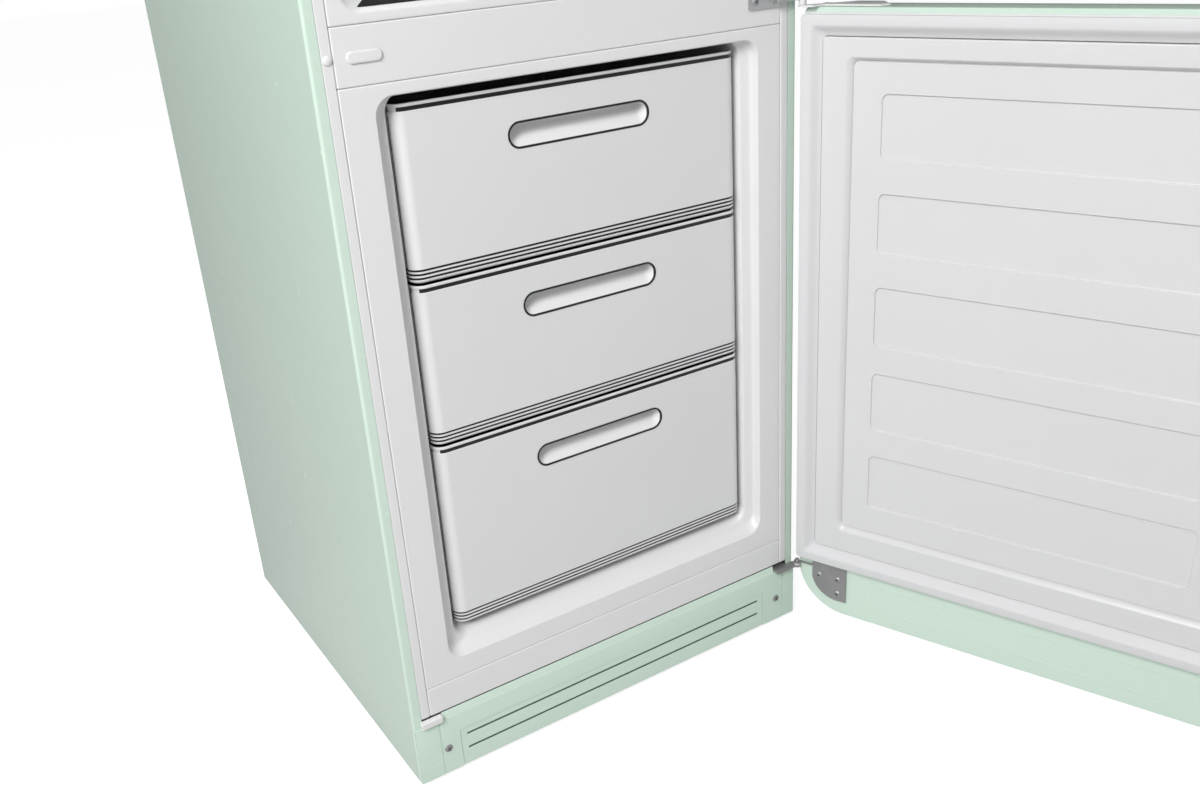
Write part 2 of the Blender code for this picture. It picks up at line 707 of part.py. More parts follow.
def fridge_fittings(root):
    """Glass shelves with their front trims, the air duct, the lamp housing."""
    x = FRIDGE_X - GAP
    fronts = (CRISPER_Y + 0.004, SHELF_Y, SHELF_Y)
    names = ("crisper_cover", "shelf_lower", "shelf_upper")
    rises = (0.0,) + SHELF_RISES
    for name, front, rise in zip(names, fronts, rises):
        z = COVER_Z + rise
        low = (-x, front, z)
        high = (x, SHELF_BACK_Y, z + SHELF_T)
        box(f"{name}_glass", low, high, "glass", root, 0.0008)
        low = (-x + 0.001, front - GAP - 0.0075, z - 0.003)
        high = (x - 0.001, front - GAP, z + SHELF_T + 0.003)
        box(f"{name}_trim", low, high, "white", root, 0.0018)

    low = (-0.085, SHELF_BACK_Y + 0.002, COVER_Z + 0.02)
    high = (0.085, FRIDGE_D - GAP, FRIDGE_CEIL - 0.02)
    box("air_duct_cover", low, high, "white", root, 0.006)

    high_z = FRIDGE_CEIL - GAP
    mesh = box_mesh("lamp_housing", (-0.095, 0.145, high_z - 0.026), (0.095, 0.330, high_z))
    lens = box_mesh("lens", (-0.075, 0.180, high_z - 0.030), (0.075, 0.315, high_z - 0.024))
    place("lamp_housing", combine(mesh, [lens]), "white", root)


def thermostat_knob(root):
    """Knob that turns on the lamp housing's front, about an axis along y."""
    z = FRIDGE_CEIL - GAP - 0.0155
    axis = empty("knob_axis", root, (0.050, 0.145 - GAP, z))
    mesh = rod_mesh("thermostat_knob", (0, 0, 0), (0, -0.016, 0), 0.0105, 0.0090, sides=20)
    grip = box_mesh("grip", (-0.0018, -0.0185, -0.0085), (0.0018, -0.004, 0.0085))
    mesh = combine(mesh, [grip])
    mesh.transform(Matrix.Translation(Vector(axis["seat"])))
    place("thermostat_knob", mesh, "silver", axis)


def cooling_unit(root):
    """Compressor on the pan behind the freezer, and the condenser on the back sheet."""
    floor = FLOOR_GAP + 0.018 + 0.0015 + GAP
    y = (HUMP_Y + 0.03 + CAB_D) / 2
    body = [
        (0.0, 0.170),
        (0.040, 0.166),
        (0.066, 0.148),
        (0.074, 0.120),
        (0.074, 0.050),
        (0.060, 0.024),
        (0.030, 0.014),
        (0.0, 0.013),
    ]
    bm = bmesh.new()
    verts = [bm.verts.new((r, 0.0, z)) for r, z in body]
    for a, b in zip(verts, verts[1:]):
        bm.edges.new((a, b))
    ob = scratch(to_mesh(bm, "compressor"))
    mod = ob.modifiers.new("Screw", "SCREW")
    mod.steps = 16
    mod.render_steps = 16
    mod.use_merge_vertices = True
    mod.merge_threshold = 0.00001
    bpy.context.view_layer.update()
    depsgraph = bpy.context.evaluated_depsgraph_get()
    mesh = bpy.data.meshes.new_from_object(ob.evaluated_get(depsgraph))
    bpy.data.objects.remove(ob, do_unlink=True)
    mesh.transform(Matrix.Translation((-0.10, y, floor)))
    plate = box_mesh("plate", (-0.205, y - 0.045, floor), (0.005, y + 0.045, floor + 0.004))
    neck = box_mesh("neck", (-0.130, y - 0.030, floor + 0.002), (-0.070, y + 0.030, floor + 0.025))
    terminal = box_mesh("terminal", (-0.045, y - 0.025, floor + 0.060), (0.0, y + 0.025, floor + 0.115))
    place("compressor", combine(mesh, [plate, neck, terminal]), "black", root)

    curve = bpy.data.curves.new("condenser", "CURVE")
    curve.dimensions = "3D"
    curve.bevel_depth = 0.003
    curve.bevel_resolution = 0
    curve.use_fill_caps = True
    rows = 9
    low = FREEZER_FLOOR + HUMP_H + 0.06
    pitch = (CAB_H - 0.25 - low) / (rows - 1)
    reach = HALF - 0.085
    depth = CAB_D - 0.030 + SHEET + GAP + 0.003
    points = []
    for i in range(rows):
        z = low + pitch * i
        sx = 1 if i % 2 else -1
        points.append((-sx * reach, depth, z))
        points.append((sx * reach, depth, z))
        if i < rows - 1:
            for step in range(1, 4):
                angle = math.pi * step / 4
                out = sx * (reach + 0.022 * math.sin(angle))
                points.append((out, depth, z + pitch * (1 - math.cos(angle)) / 2))
    spline = curve.splines.new("POLY")
    spline.points.add(len(points) - 1)
    for point, co in zip(spline.points, points):
        point.co = (*co, 1.0)
    place("condenser", curve_mesh(curve), "black", root)


# ---------------------------------------------------------------- drawers
def drawer_levels():
    """Lower edge and height of each freezer drawer, from the top one down."""
    top = FREEZER_CEIL - DRAWER_TOP
    spans = []
    for height in DRAWER_HEIGHTS:
        spans.append((top - height, height))
        top -= height + DRAWER_GAP
    low = FREEZER_FLOOR + DRAWER_FLOOR
    spans.append((low, top - low))
    return spans


def freezer_drawer(name, low, height, back, root):
    """A pull-out bin with its wrapped front panel and the concave grip let into it."""
    top = low + height
    group = empty(f"{name}_drawer_slide", root, (0.0, DRAWER_Y, low))

    # front: one wall bent round both corners
    path = rounded(-DRAWER_X, DRAWER_X, DRAWER_Y, DRAWER_Y + 0.2, DRAWER_CORNER, 5)
    front = [p for p in path if p[1] < DRAWER_Y + 0.1]
    ends = DRAWER_Y + DRAWER_WRAP
    points = [(-DRAWER_X, ends)] + front + [(DRAWER_X, ends)]
    skin = loft_mesh(name, [level(points, top), level(points, low)], closed=False)
    mesh = thick_mesh(skin, PLASTIC, 1)
    centre = top - GRIP_DROP
    half_w = GRIP_W / 2
    half_h = GRIP_H / 2
    hole = rounded(-half_w, half_w, centre - half_h, centre + half_h, half_h - 0.0001, 6)
    cut = outline_mesh("slot", [hole], 0.02, facing_front(DRAWER_Y - 0.01, 0.02))
    place(f"{name}_drawer_front", combine(mesh, [cut], "DIFFERENCE"), "silver", group)

    # grip: a cup that fills the slot and curves back, deepest under its upper lip
    rings = []
    for inset, drop, depth in (
        (GAP, 0.0, -0.0005),
        (GAP + 0.0005, 0.0, 0.004),
        (GAP + 0.0025, -0.0010, GRIP_D * 0.7),
        (GAP + 0.0065, -0.0020, GRIP_D),
    ):
        r = half_h - inset - 0.0001
        lower = centre - half_h + inset - drop
        upper = centre + half_h - inset + drop * 0.0
        r = min(r, (upper - lower) / 2 - 0.0001)
        ring = rounded(-half_w + inset, half_w - inset, lower, upper, r, 6)
        rings.append(upright(ring, DRAWER_Y + depth))
    ob = place(f"{name}_drawer_grip", loft_mesh(name, rings, cap_end=True), "white", group)
    thicken(ob, 0.0012, 1)

    rim = top - BIN_LOW
    corners = (0.005, 0.005, 0.014, 0.014)
    mesh = tray_mesh(f"{name}_bin", BIN_X, DRAWER_Y + BIN_SET, back, low, rim, PLASTIC, corners)
    place(f"{name}_drawer_bin", mesh, "white", group)


def freezer_drawers(root):
    names = ("top", "middle", "bottom")
    backs = (FREEZER_D - 0.035, FREEZER_D - 0.035, HUMP_Y - 0.008)
    for name, (low, height), back in zip(names, drawer_levels(), backs):
        freezer_drawer(name, low, height, back, root)


def crisper(root):
    """Salad drawer on the fridge compartment's floor."""
    low = FRIDGE_FLOOR + GAP
    group = empty("crisper_slide", root, (0.0, CRISPER_Y, low))
    x = FRIDGE_X - LEDGE_W - 0.0012
    back = FRIDGE_D - CRISPER_BACK
    mesh = tray_mesh("crisper", x, CRISPER_Y, back, low, CRISPER_TOP, 0.003, 0.016, 0.003)
    place("crisper_drawer", mesh, "clear", group)


# ---------------------------------------------------------------- doors
def door_shell(name, low, high, radii, skirt_low, skirt_high, hinge):
    """Painted steel skin: rounded front edges, and a flat inner face round a window."""
    x = DOOR_X

    def outline(offset):
        shrunk = tuple(max(r - offset, 0.002) for r in radii)
        return rounded(-x + offset, x - offset, low + offset, high - offset, shrunk, 6)

    window = rounded(-x + 0.020, x - 0.020, low + skirt_low, high - skirt_high, 0.008, 6)
    rings = [
        upright(window, DOOR_IN),
        upright(outline(0.0015), DOOR_IN),
        upright(outline(0.0), DOOR_IN - 0.0015),
    ]
    for i in range(4):
        angle = math.radians(90 * i / 3)
        offset = DOOR_EDGE_R * (1 - math.cos(angle))
        y = DOOR_OUT + DOOR_EDGE_R * (1 - math.sin(angle))
        rings.append(upright(outline(offset), y))
    ob = place(name, loft_mesh(name, rings, cap_end=True), "enamel", hinge)
    thicken(ob, SHEET, -1)


def gasket(name, low, high, hinge):
    """Magnetic seal: a ring with a broad foot on the door and a soft lip to the frame."""
    x = GASKET_X

    def ring(inset, y):
        return upright(rounded(-x + inset, x - inset, low + inset, high - inset, 0.006, 3), y)

    near = DOOR_IN + GAP
    far = -GAP
    rings = [
        ring(0.0, near),
        ring(0.0025, (near + far) / 2),
        ring(0.002, far),
        ring(GASKET_W - 0.010, far),
        ring(GASKET_W, (near + far) / 2),
        ring(GASKET_W, near),
    ]
    place(name, loft_mesh(name, rings, loop=True), "gasket", hinge)


def door_liner(name, low, high, levels, hinge):
    """Inner moulding inside the seal, through (inset from the seal's edge, y) steps."""
    x = GASKET_X
    rings = []
    for inset, y in levels:
        ring = rounded(-x + inset, x - inset, low + inset, high - inset, 0.008, 3)
        rings.append(upright(ring, y))
    ob = place(name, loft_mesh(name, rings, cap_end=True), "white", hinge)
    thicken(ob, 0.002, 1)


def hinge_leaf(name, door_end, up, hinge):
    """Plate on the door's inner face that follows its corner, with an eye for the pin.

    up is 1 for the freezer door's lower end and -1 for the fridge door's upper end.
    """
    y0 = DOOR_IN + GAP
    thickness = 0.0025
    arm = door_end + up * (BOTTOM + 0.0805 + 0.004 + 0.002 - FDOOR_LOW)
    z0, z1 = sorted((arm, arm + up * thickness))
    near = DOOR_X - 0.022
    far = DOOR_X - 0.074
    foot = door_end + up * 0.022
    head = arm + up * 0.010
    reach = abs(head - foot)
    outline = [(far, foot)]
    for i in range(7):
        angle = math.radians(90 * i / 6)
        outline.append(
            (near - (near - far) * 0.75 * (1 - math.sin(angle)), foot + up * 0.62 * reach * (1 - math.cos(angle)))
        )
    outline += [(near, head), (far, head)]
    mesh = outline_mesh(name, [outline], thickness, facing_front(y0, thickness))
    extra = [
        box_mesh("arm", (near - 0.010, y0, z0), (AXIS_X, y0 + 0.003, z1)),
        eye_mesh(z0, z1),
    ]
    spots = ((0.061, 0.061), (0.061, 0.034), (0.033, 0.061))
    for side, rise in spots:
        z = door_end + up * rise
        head_mesh = rod_mesh(
            "head", (DOOR_X - side, y0 + thickness - 0.0008, z), (DOOR_X - side, y0 + thickness + 0.0014, z),
            0.004, 0.003, sides=12,
        )
        extra.append(head_mesh)
    mesh = combine(mesh, extra)
    place(name, combine(mesh, [pin_hole(z0, z1)], "DIFFERENCE"), "zinc", hinge)


def flat_leaf(name, z0, z1, length, kind, hinge):
    """Plate lying against a door's end at the middle hinge, with an eye for the pin."""
    front = AXIS_Y - 0.046
    outline = [
        (AXIS_X - 0.002, AXIS_Y - 0.0048),
        (AXIS_X - 0.002, AXIS_Y + 0.0048),
        (AXIS_X - 0.016, AXIS_Y + 0.0048),
        (AXIS_X - 0.022, DOOR_IN - 0.004),
        (DOOR_X - length, DOOR_IN - 0.004),
        (DOOR_X - length - 0.008, DOOR_IN - 0.014),
        (DOOR_X - length + 0.010, front),
        (DOOR_X - 0.050, front),
        (DOOR_X - 0.020, DOOR_IN - 0.014),
    ]
    mesh = outline_mesh(name, [outline[::-1]], z1 - z0, lying(z0, z1 - z0))
    mesh = combine(mesh, [eye_mesh(z0, z1)])
    place(name, combine(mesh, [pin_hole(z0, z1)], "DIFFERENCE"), kind, hinge)


def handle(name, low, high, hinge):
    """Chrome bow on the door's free side, standing on two round feet."""
    x = -DOOR_X + 0.058
    face = DOOR_OUT - GAP
    out = face - 0.034
    curve = bpy.data.curves.new(name, "CURVE")
    curve.dimensions = "3D"
    curve.bevel_depth = 0.0085
    curve.bevel_resolution = 2
    curve.use_fill_caps = True
    bend = 0.020
    points = [(x, face, low)]
    for i in range(5):
        angle = math.radians(90 * i / 4)
        points.append((x, out + bend * (1 - math.sin(angle)), low + bend * (1 - math.cos(angle))))
    for i in range(5):
        angle = math.radians(90 * i / 4)
        points.append((x, out + bend * (1 - math.cos(angle)), high - bend * (1 - math.sin(angle))))
    points.append((x, face, high))
    spline = curve.splines.new("POLY")
    spline.points.add(len(points) - 1)
    for point, co in zip(spline.points, points):
        point.co = (*co, 1.0)
    mesh = curve_mesh(curve)
    feet_meshes = [
        rod_mesh("foot", (x, face, z), (x, face - 0.007, z), 0.0150, 0.0115, sides=20)
        for z in (low, high)
    ]
    place(name, combine(mesh, feet_meshes), "chrome", hinge)


def freezer_door(root):
    hinge = empty("freezer_door_hinge", root, (AXIS_X, AXIS_Y, FDOOR_LOW), DOOR_OPEN)
    radii = (TOP_R, TOP_R, 0.006, 0.006)
    seal_low = FDOOR_LOW + SKIRT_H
    seal_high = FDOOR_TOP - GASKET_END
    door_shell(
        "freezer_door_shell", FDOOR_LOW, FDOOR_TOP, radii, SKIRT_H + 0.020, 0.020, hinge
    )
    gasket("freezer_door_gasket", seal_low, seal_high, hinge)
    near = DOOR_IN + GAP + 0.0022
    steps = [(GASKET_W + 0.0005, near), (0.058, near), (0.0605, near + 0.005), (0.064, near + 0.006)]
    door_liner("freezer_door_liner", seal_low, seal_high, steps, hinge)
    hinge_leaf("freezer_hinge_leaf", FDOOR_LOW, 1, hinge)
    flat_leaf("freezer_top_leaf", FDOOR_TOP + GAP, FDOOR_TOP + GAP + 0.0022, 0.092, "white", hinge)
    handle("freezer_door_handle", FDOOR_TOP - 0.300, FDOOR_TOP - 0.080, hinge)


def fridge_door(root):
    hinge = empty("fridge_door_hinge", root, (AXIS_X, AXIS_Y, RDOOR_LOW), DOOR_OPEN)
    radii = (0.006, 0.006, TOP_R, TOP_R)
    seal_low = RDOOR_LOW + GASKET_END
    seal_high = RDOOR_TOP - SKIRT_H
    door_shell("fridge_door_shell", RDOOR_LOW, RDOOR_TOP, radii, 0.020, SKIRT_H + 0.020, hinge)
    gasket("fridge_door_gasket", seal_low, seal_high, hinge)
    near = DOOR_IN + GAP + 0.0022
    steps = [
        (GASKET_W + 0.0005, near),
        (0.0615, near),
        (0.0675, 0.026),
        (0.071, 0.030),
        (0.080, 0.030),
        (0.084, 0.026),
        (RIB_IN, near + 0.002),
    ]
    door_liner("fridge_door_liner", seal_low, seal_high, steps, hinge)
    hinge_leaf("fridge_hinge_leaf", RDOOR_TOP, -1, hinge)
    flat_leaf("fridge_bottom_leaf", RDOOR_LOW - GAP - 0.003, RDOOR_LOW - GAP, 0.100, "black", hinge)
    handle("fridge_door_handle", RDOOR_LOW + 0.080, RDOOR_LOW + 0.330, hinge)

    # balconies hang between the moulding's side ribs
    x = GASKET_X - RIB_IN - 2 * GAP
    y0 = near + 0.002 + GAP
    names = ("bottle_balcony", "middle_balcony", "dairy_balcony")
    z = BALCONY_LOW
    for name, depth in zip(names, BALCONY_HEIGHTS):
        mesh = tray_mesh(name, x, y0, y0 + BALCONY_D, z, z + depth, PLASTIC, 0.020, 0.0)
        place(name, mesh, "clear", hinge)
        dairy_top = z + depth
        z = dairy_top + BALCONY_ROOM / len(BALCONY_HEIGHTS)

    # the dairy balcony's lid turns up about its rear lower edge
    z = dairy_top + GAP
    axis = empty("dairy_lid_axis", hinge, (0.0, y0 + 0.0045, z))
    low = (-x + 0.002, y0 + 0.0045, z)
    high = (x - 0.002, y0 + BALCONY_D - 0.001, z + 0.003)
    box("dairy_lid", low, high, "clear", axis, 0.001)


# ---------------------------------------------------------------- whole object
def stand_on_origin(root):
    """Moves everything so that the base's middle lies on the origin."""
    root.location = (0.0, 0.0, 0.0)
    bpy.context.view_layer.update()
    depsgraph = bpy.context.evaluated_depsgraph_get()
    low = Vector((1e9, 1e9, 1e9))
    high = -low
    for ob in PARTS.objects:
        if ob.type == "EMPTY":
            continue
        shape = ob.evaluated_get(depsgraph)
        for vert in shape.to_mesh().vertices:
            point = ob.matrix_world @ vert.co
            low = Vector(map(min, low, point))
            high = Vector(map(max, high, point))
        shape.to_mesh_clear()
    root.location = (-(low.x + high.x) / 2, -(low.y + high.y) / 2, -low.z)
    bpy.context.view_layer.update()


def build():
    root = empty("cabinet_origin", None, (0.0, 0.0, 0.0))
    cabinet_wrap(root)
    rear_panel(root)
    base_tray(root)
    feet(root)
    plinth(root)
    front_trims(root)
    front_plugs(root)
    freezer_liner(root)
    fridge_liner(root)
    hinge_brackets(root)
    fridge_fittings(root)
    thermostat_knob(root)
    cooling_unit(root)
    freezer_drawers(root)
    crisper(root)
    freezer_door(root)
    fridge_door(root)
    stand_on_origin(root)


clear_scene()
PARTS = new_collection("retro_refrigerator")
CUTTERS = new_collection("cutters")
build()
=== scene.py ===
"""Looks of the retro refrigerator: finished pieces that stand for many of the CAD nodes, its materials, the
studio.
"""

import json
import math

import bmesh
import bpy
from mathutils import Matrix, Vector


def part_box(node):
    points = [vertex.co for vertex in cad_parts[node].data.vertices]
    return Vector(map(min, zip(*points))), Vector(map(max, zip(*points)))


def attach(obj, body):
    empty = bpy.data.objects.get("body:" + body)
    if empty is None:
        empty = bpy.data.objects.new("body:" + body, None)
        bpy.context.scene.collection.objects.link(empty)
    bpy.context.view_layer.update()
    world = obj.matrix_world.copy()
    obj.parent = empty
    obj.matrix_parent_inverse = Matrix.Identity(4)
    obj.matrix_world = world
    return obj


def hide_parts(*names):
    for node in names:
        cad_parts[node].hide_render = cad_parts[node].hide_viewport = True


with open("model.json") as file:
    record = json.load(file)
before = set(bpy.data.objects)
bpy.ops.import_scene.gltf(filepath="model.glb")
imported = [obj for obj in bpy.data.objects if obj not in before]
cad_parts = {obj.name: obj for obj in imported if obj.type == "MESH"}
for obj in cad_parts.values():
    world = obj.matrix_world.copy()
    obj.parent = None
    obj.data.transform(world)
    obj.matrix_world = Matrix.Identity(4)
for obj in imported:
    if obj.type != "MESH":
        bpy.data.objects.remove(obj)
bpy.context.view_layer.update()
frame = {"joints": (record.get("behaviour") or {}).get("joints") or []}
JOINTS = {j["name"]: j for j in frame["joints"]}

# ---------------------------------------------------------------- sizes shared with the CAD
CAB_W, CAB_H, CAB_D = 0.601, 1.968, 0.595
HALF = CAB_W / 2
BOTTOM = 0.012
GAP = 0.0003
SHEET = 0.001
PLASTIC = 0.0025
TOP_R, EDGE_R = 0.07, 0.0035
RETURN_W, TRIM_W = 0.012, 0.0117
PLINTH_H, RAIL_H, FREEZER_FRAME_H, MULLION_H, HEADER_H = 0.09, 0.0386, 0.7022, 0.0569, 0.0735
PLINTH_TOP = BOTTOM + PLINTH_H
FRAME_LOW = PLINTH_TOP + RAIL_H
FRAME_MID = FRAME_LOW + FREEZER_FRAME_H
FRIDGE_LOW = FRAME_MID + MULLION_H
FRIDGE_TOP = CAB_H - HEADER_H
STRIP_T, STRIP_R = 0.006, 0.0016
FRAME_X = HALF - RETURN_W - GAP - TRIM_W - GAP
MOUTH_X, MOUTH_R = HALF - 0.056, 0.02
WALL_R = 0.012
FREEZER_X = MOUTH_X - 0.02
FREEZER_FLOOR = FRAME_LOW + 0.0234 + 0.033
FREEZER_CEIL = FRAME_MID - 0.0085 - 0.009
FREEZER_D, HUMP_Y, HUMP_H = 0.49, 0.37, 0.105
FRIDGE_X = MOUTH_X - 0.01
FRIDGE_FLOOR = FRIDGE_LOW + 0.0145 + 0.011
FRIDGE_CEIL = FRIDGE_TOP - 0.023 - 0.0165
FRIDGE_D = 0.53
AXIS_X, AXIS_Y = HALF + 0.0005, -0.0105
DOOR_IN, DOOR_T, DOOR_R = -0.016, 0.07, 0.028
DOOR_OUT = DOOR_IN - DOOR_T
FDOOR_LOW = BOTTOM + 0.018
SPLIT = (FRAME_MID + FRIDGE_LOW) / 2 - 0.0013
FDOOR_TOP, RDOOR_LOW = SPLIT - 0.0105, SPLIT + 0.0105
RDOOR_TOP = CAB_H - 0.003
SKIRT_H, GASKET_W, GASKET_END = 0.084, 0.026, 0.0058
GASKET_X = HALF - 0.001
LINER_Y = DOOR_IN + GAP + 0.0022
HINGE_Z = BOTTOM + 0.0805
HINGE_RISE = HINGE_Z - FDOOR_LOW
DRAWER_X, DRAWER_R = FREEZER_X - 0.0055, 0.014
DRAWER_Y, DRAWER_WRAP = 0.013, 0.036
RIBS, RIB_Z, RIB_PITCH, RIB_HALF = 3, 0.014, 0.0044, 0.0011
GRIP_W, GRIP_H, GRIP_DROP, GRIP_D = 0.1835, 0.0295, 0.05, 0.02
PIN_R, EYE_R, PIN_PLAY = 0.003, 0.005, 0.0005
RIB_IN, BALCONY_D = 0.09, 0.107
SIDES = (("left", -1), ("right", 1))
SHELVES = ("crisper_cover", "shelf_lower", "shelf_upper")
DOOR_OPEN = math.radians(111)

low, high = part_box("cabinet_wrap")
PLACE = Matrix.Translation(((low.x + high.x) / 2, low.y, 0.0))


def door_place(joint):
    """Carries a door drawn closed, in the cabinet's coordinates, to where it stands at rest."""
    pos = Vector(JOINTS[joint]["pos_m"])
    turn = Matrix.Rotation(DOOR_OPEN, 4, "Z")
    return Matrix.Translation(pos) @ turn @ Matrix.Translation((-AXIS_X, -AXIS_Y, -pos.z))


def cad_box(node):
    """A CAD node's low and high corners in the cabinet's coordinates."""
    lo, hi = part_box(node)
    return lo - PLACE.translation, hi - PLACE.translation


# each piece goes on one of these: a body, and the matrix that carries its drawing to where it rests
CABINET = ("cabinet", PLACE)
CRISPER = ("crisper", PLACE)
KNOB = ("thermostat_knob", PLACE)
FREEZER_DOOR = ("freezer_door", door_place("freezer_door_hinge"))
FRIDGE_DOOR = ("fridge_door", door_place("fridge_door_hinge"))
DAIRY_LID = ("dairy_lid", FRIDGE_DOOR[1])


# ---------------------------------------------------------------- materials
def shader_of(name, colour, rough, metal=0.0, **extra):
    mat = bpy.data.materials.new(name)
    mat.use_nodes = True
    shader = mat.node_tree.nodes["Principled BSDF"]
    shader.inputs["Base Color"].default_value = (*colour, 1.0)
    shader.inputs["Roughness"].default_value = rough
    shader.inputs["Metallic"].default_value = metal
    for key, value in extra.items():
        shader.inputs[key.replace("_", " ")].default_value = value
    mat.diffuse_color = (*colour, 1.0)
    return mat, shader


def add(tree, kind, **values):
    """Adds a shader node; a value is a number for an input, or another node's output to link to it."""
    made = tree.nodes.new("ShaderNode" + kind)
    for key, value in values.items():
        socket = made.inputs[key.replace("_", " ")]
        if isinstance(value, bpy.types.NodeSocket):
            tree.links.new(value, socket)
        else:
            socket.default_value = value
    return made


def noise(mat, scale, detail=2.0, stretch=(1.0, 1.0, 1.0)):
    tree = mat.node_tree
    coord = add(tree, "TexCoord").outputs["Object"]
    mapped = add(tree, "Mapping", Vector=coord, Scale=stretch).outputs["Vector"]
    return add(tree, "TexNoise", Vector=mapped, Scale=scale, Detail=detail).outputs["Fac"]


def vary_rough(mat, shader, fac, lowest, highest):
    span = add(mat.node_tree, "MapRange", Value=fac, To_Min=lowest, To_Max=highest)
    mat.node_tree.links.new(span.outputs["Result"], shader.inputs["Roughness"])


def vary_colour(mat, shader, fac, first, second):
    ramp = add(mat.node_tree, "ValToRGB", Fac=fac)
    for stop, position, colour in zip(ramp.color_ramp.elements, (0.3, 0.7), (first, second)):
        stop.position = position
        stop.color = (*colour, 1.0)
    mat.node_tree.links.new(ramp.outputs["Color"], shader.inputs["Base Color"])


def bump(mat, shader, fac, strength, distance):
    relief = add(mat.node_tree, "Bump", Height=fac, Strength=strength, Distance=distance)
    mat.node_tree.links.new(relief.outputs["Normal"], shader.inputs["Normal"])


def enamel():
    """Gloss enamel with the faint orange peel of sprayed sheet steel."""
    mat, shader = shader_of("enamel", (0.645, 0.79, 0.69), 0.24, Coat_Weight=0.4, Coat_Roughness=0.06)
    vary_colour(mat, shader, noise(mat, 3.0), (0.64, 0.785, 0.684), (0.65, 0.797, 0.696))
    vary_rough(mat, shader, noise(mat, 40.0, 4.0), 0.2, 0.3)
    bump(mat, shader, noise(mat, 260.0, 1.5), 0.05, 0.0002)
    return mat


def moulding(name, colour, rough, grain=900.0, depth=0.1):
    """Moulded plastic: satin, with a very fine grain and slightly uneven gloss."""
    mat, shader = shader_of(name, colour, rough)
    vary_colour(mat, shader, noise(mat, 5.0), colour, tuple(c * 0.985 for c in colour))
    vary_rough(mat, shader, noise(mat, 60.0, 3.0), rough - 0.05, rough + 0.05)
    bump(mat, shader, noise(mat, grain, 2.0), depth, 0.00008)
    return mat


def pearl():
    """Silver-grey lacquered moulding of the drawer fronts."""
    mat, shader = shader_of("pearl_grey", (0.74, 0.74, 0.748), 0.5)
    vary_colour(mat, shader, noise(mat, 4.0), (0.732, 0.732, 0.74), (0.748, 0.748, 0.754))
    vary_rough(mat, shader, noise(mat, 80.0, 3.0), 0.46, 0.54)
    bump(mat, shader, noise(mat, 1400.0, 2.0), 0.06, 0.00005)
    return mat


def seal():
    """Soft vinyl of the door seals."""
    mat, shader = shader_of("seal_vinyl", (0.68, 0.68, 0.69), 0.55)
    vary_rough(mat, shader, noise(mat, 90.0, 3.0), 0.48, 0.62)
    bump(mat, shader, noise(mat, 700.0, 2.0), 0.15, 0.0001)
    return mat


def plated(name, colour, rough, metal=1.0):
    """Plated steel: brushed one way, with a cloudy sheen."""
    stretch = (1.0, 1.0, 12.0)
    mat, shader = shader_of(name, colour, rough, metal)
    vary_colour(mat, shader, noise(mat, 30.0, 4.0), colour, tuple(c * 0.86 for c in colour))
    vary_rough(mat, shader, noise(mat, 140.0, 4.0, stretch), rough - 0.08, rough + 0.1)
    bump(mat, shader, noise(mat, 400.0, 3.0, stretch), 0.12, 0.0001)
    return mat


def chrome():
    mat, shader = shader_of("chrome", (0.86, 0.87, 0.88), 0.05, 1.0)
    vary_rough(mat, shader, noise(mat, 50.0, 3.0), 0.03, 0.08)
    return mat


def spangle():
    """Galvanised sheet with its crystal pattern."""
    mat, shader = shader_of("galvanised", (0.5, 0.51, 0.52), 0.42, 0.9)
    tree = mat.node_tree
    coord = add(tree, "TexCoord").outputs["Object"]
    cells = add(tree, "TexVoronoi", Vector=coord, Scale=90.0).outputs["Color"]
    grey = add(tree, "RGBToBW", Color=cells).outputs["Val"]
    vary_colour(mat, shader, grey, (0.44, 0.45, 0.46), (0.56, 0.57, 0.58))
    vary_rough(mat, shader, grey, 0.34, 0.52)
    return mat


def dark(name, colour, rough):
    """Dark plastic or paint with a faint grain."""
    mat, shader = shader_of(name, colour, rough)
    vary_rough(mat, shader, noise(mat, 120.0, 3.0), rough - 0.06, rough + 0.08)
    bump(mat, shader, noise(mat, 500.0, 2.0), 0.1, 0.0001)
    return mat


def clear(name, colour, rough, ior=1.49):
    """Glass, or clear plastic."""
    mat, shader = shader_of(name, colour, rough, 0.0, Transmission_Weight=1.0, IOR=ior)
    vary_rough(mat, shader, noise(mat, 30.0, 2.0), rough, rough + 0.03)
    return mat


ENAMEL = enamel()
WHITE = moulding("white_liner", (0.79, 0.79, 0.79), 0.36)
DOOR_WHITE = moulding("door_liner_white", (0.7, 0.7, 0.705), 0.36)
TRIM = moulding("white_trim", (0.79, 0.79, 0.79), 0.3, 1200.0, 0.06)
PEARL = pearl()
SEAL = seal()
ZINC = plated("zinc_plate", (0.42, 0.41, 0.42), 0.45, 0.75)
NICKEL = plated("bright_plate", (0.66, 0.66, 0.67), 0.32)
SCREW_STEEL = plated("screw_steel", (0.46, 0.46, 0.47), 0.5, 0.7)
CHROME = chrome()
GALV = spangle()
# black for the grip rings, and painted shade for the screw recesses, drawer grooves, sill gap and crisper
# foot
BLACK = dark("black_part_and_painted_shade", (0.01, 0.01, 0.011), 0.35)
# painted shade for the gaps beside the drawer fronts
EDGE_SHADE = dark("painted_edge_shade", (0.1, 0.1, 0.105), 0.4)
BLACK_PAINT = dark("black_paint", (0.022, 0.022, 0.024), 0.38)
BLACK_PLATE = dark("black_plate", (0.018, 0.02, 0.02), 0.45)
SLOT_SHADOW = dark("painted_slot_shadow", (0.045, 0.095, 0.075), 0.5)
GLASS = clear("shelf_glass", (0.9, 0.96, 0.94), 0.02, 1.5)
CLEAR = clear("clear_tray", (0.93, 0.95, 0.96), 0.04)
LENS = moulding("lamp_lens", (0.86, 0.86, 0.84), 0.25, 400.0, 0.3)
COPPER = plated("copper_pipe", (0.72, 0.36, 0.22), 0.3)
FOOT = dark("foot_nylon", (0.03, 0.03, 0.03), 0.55)


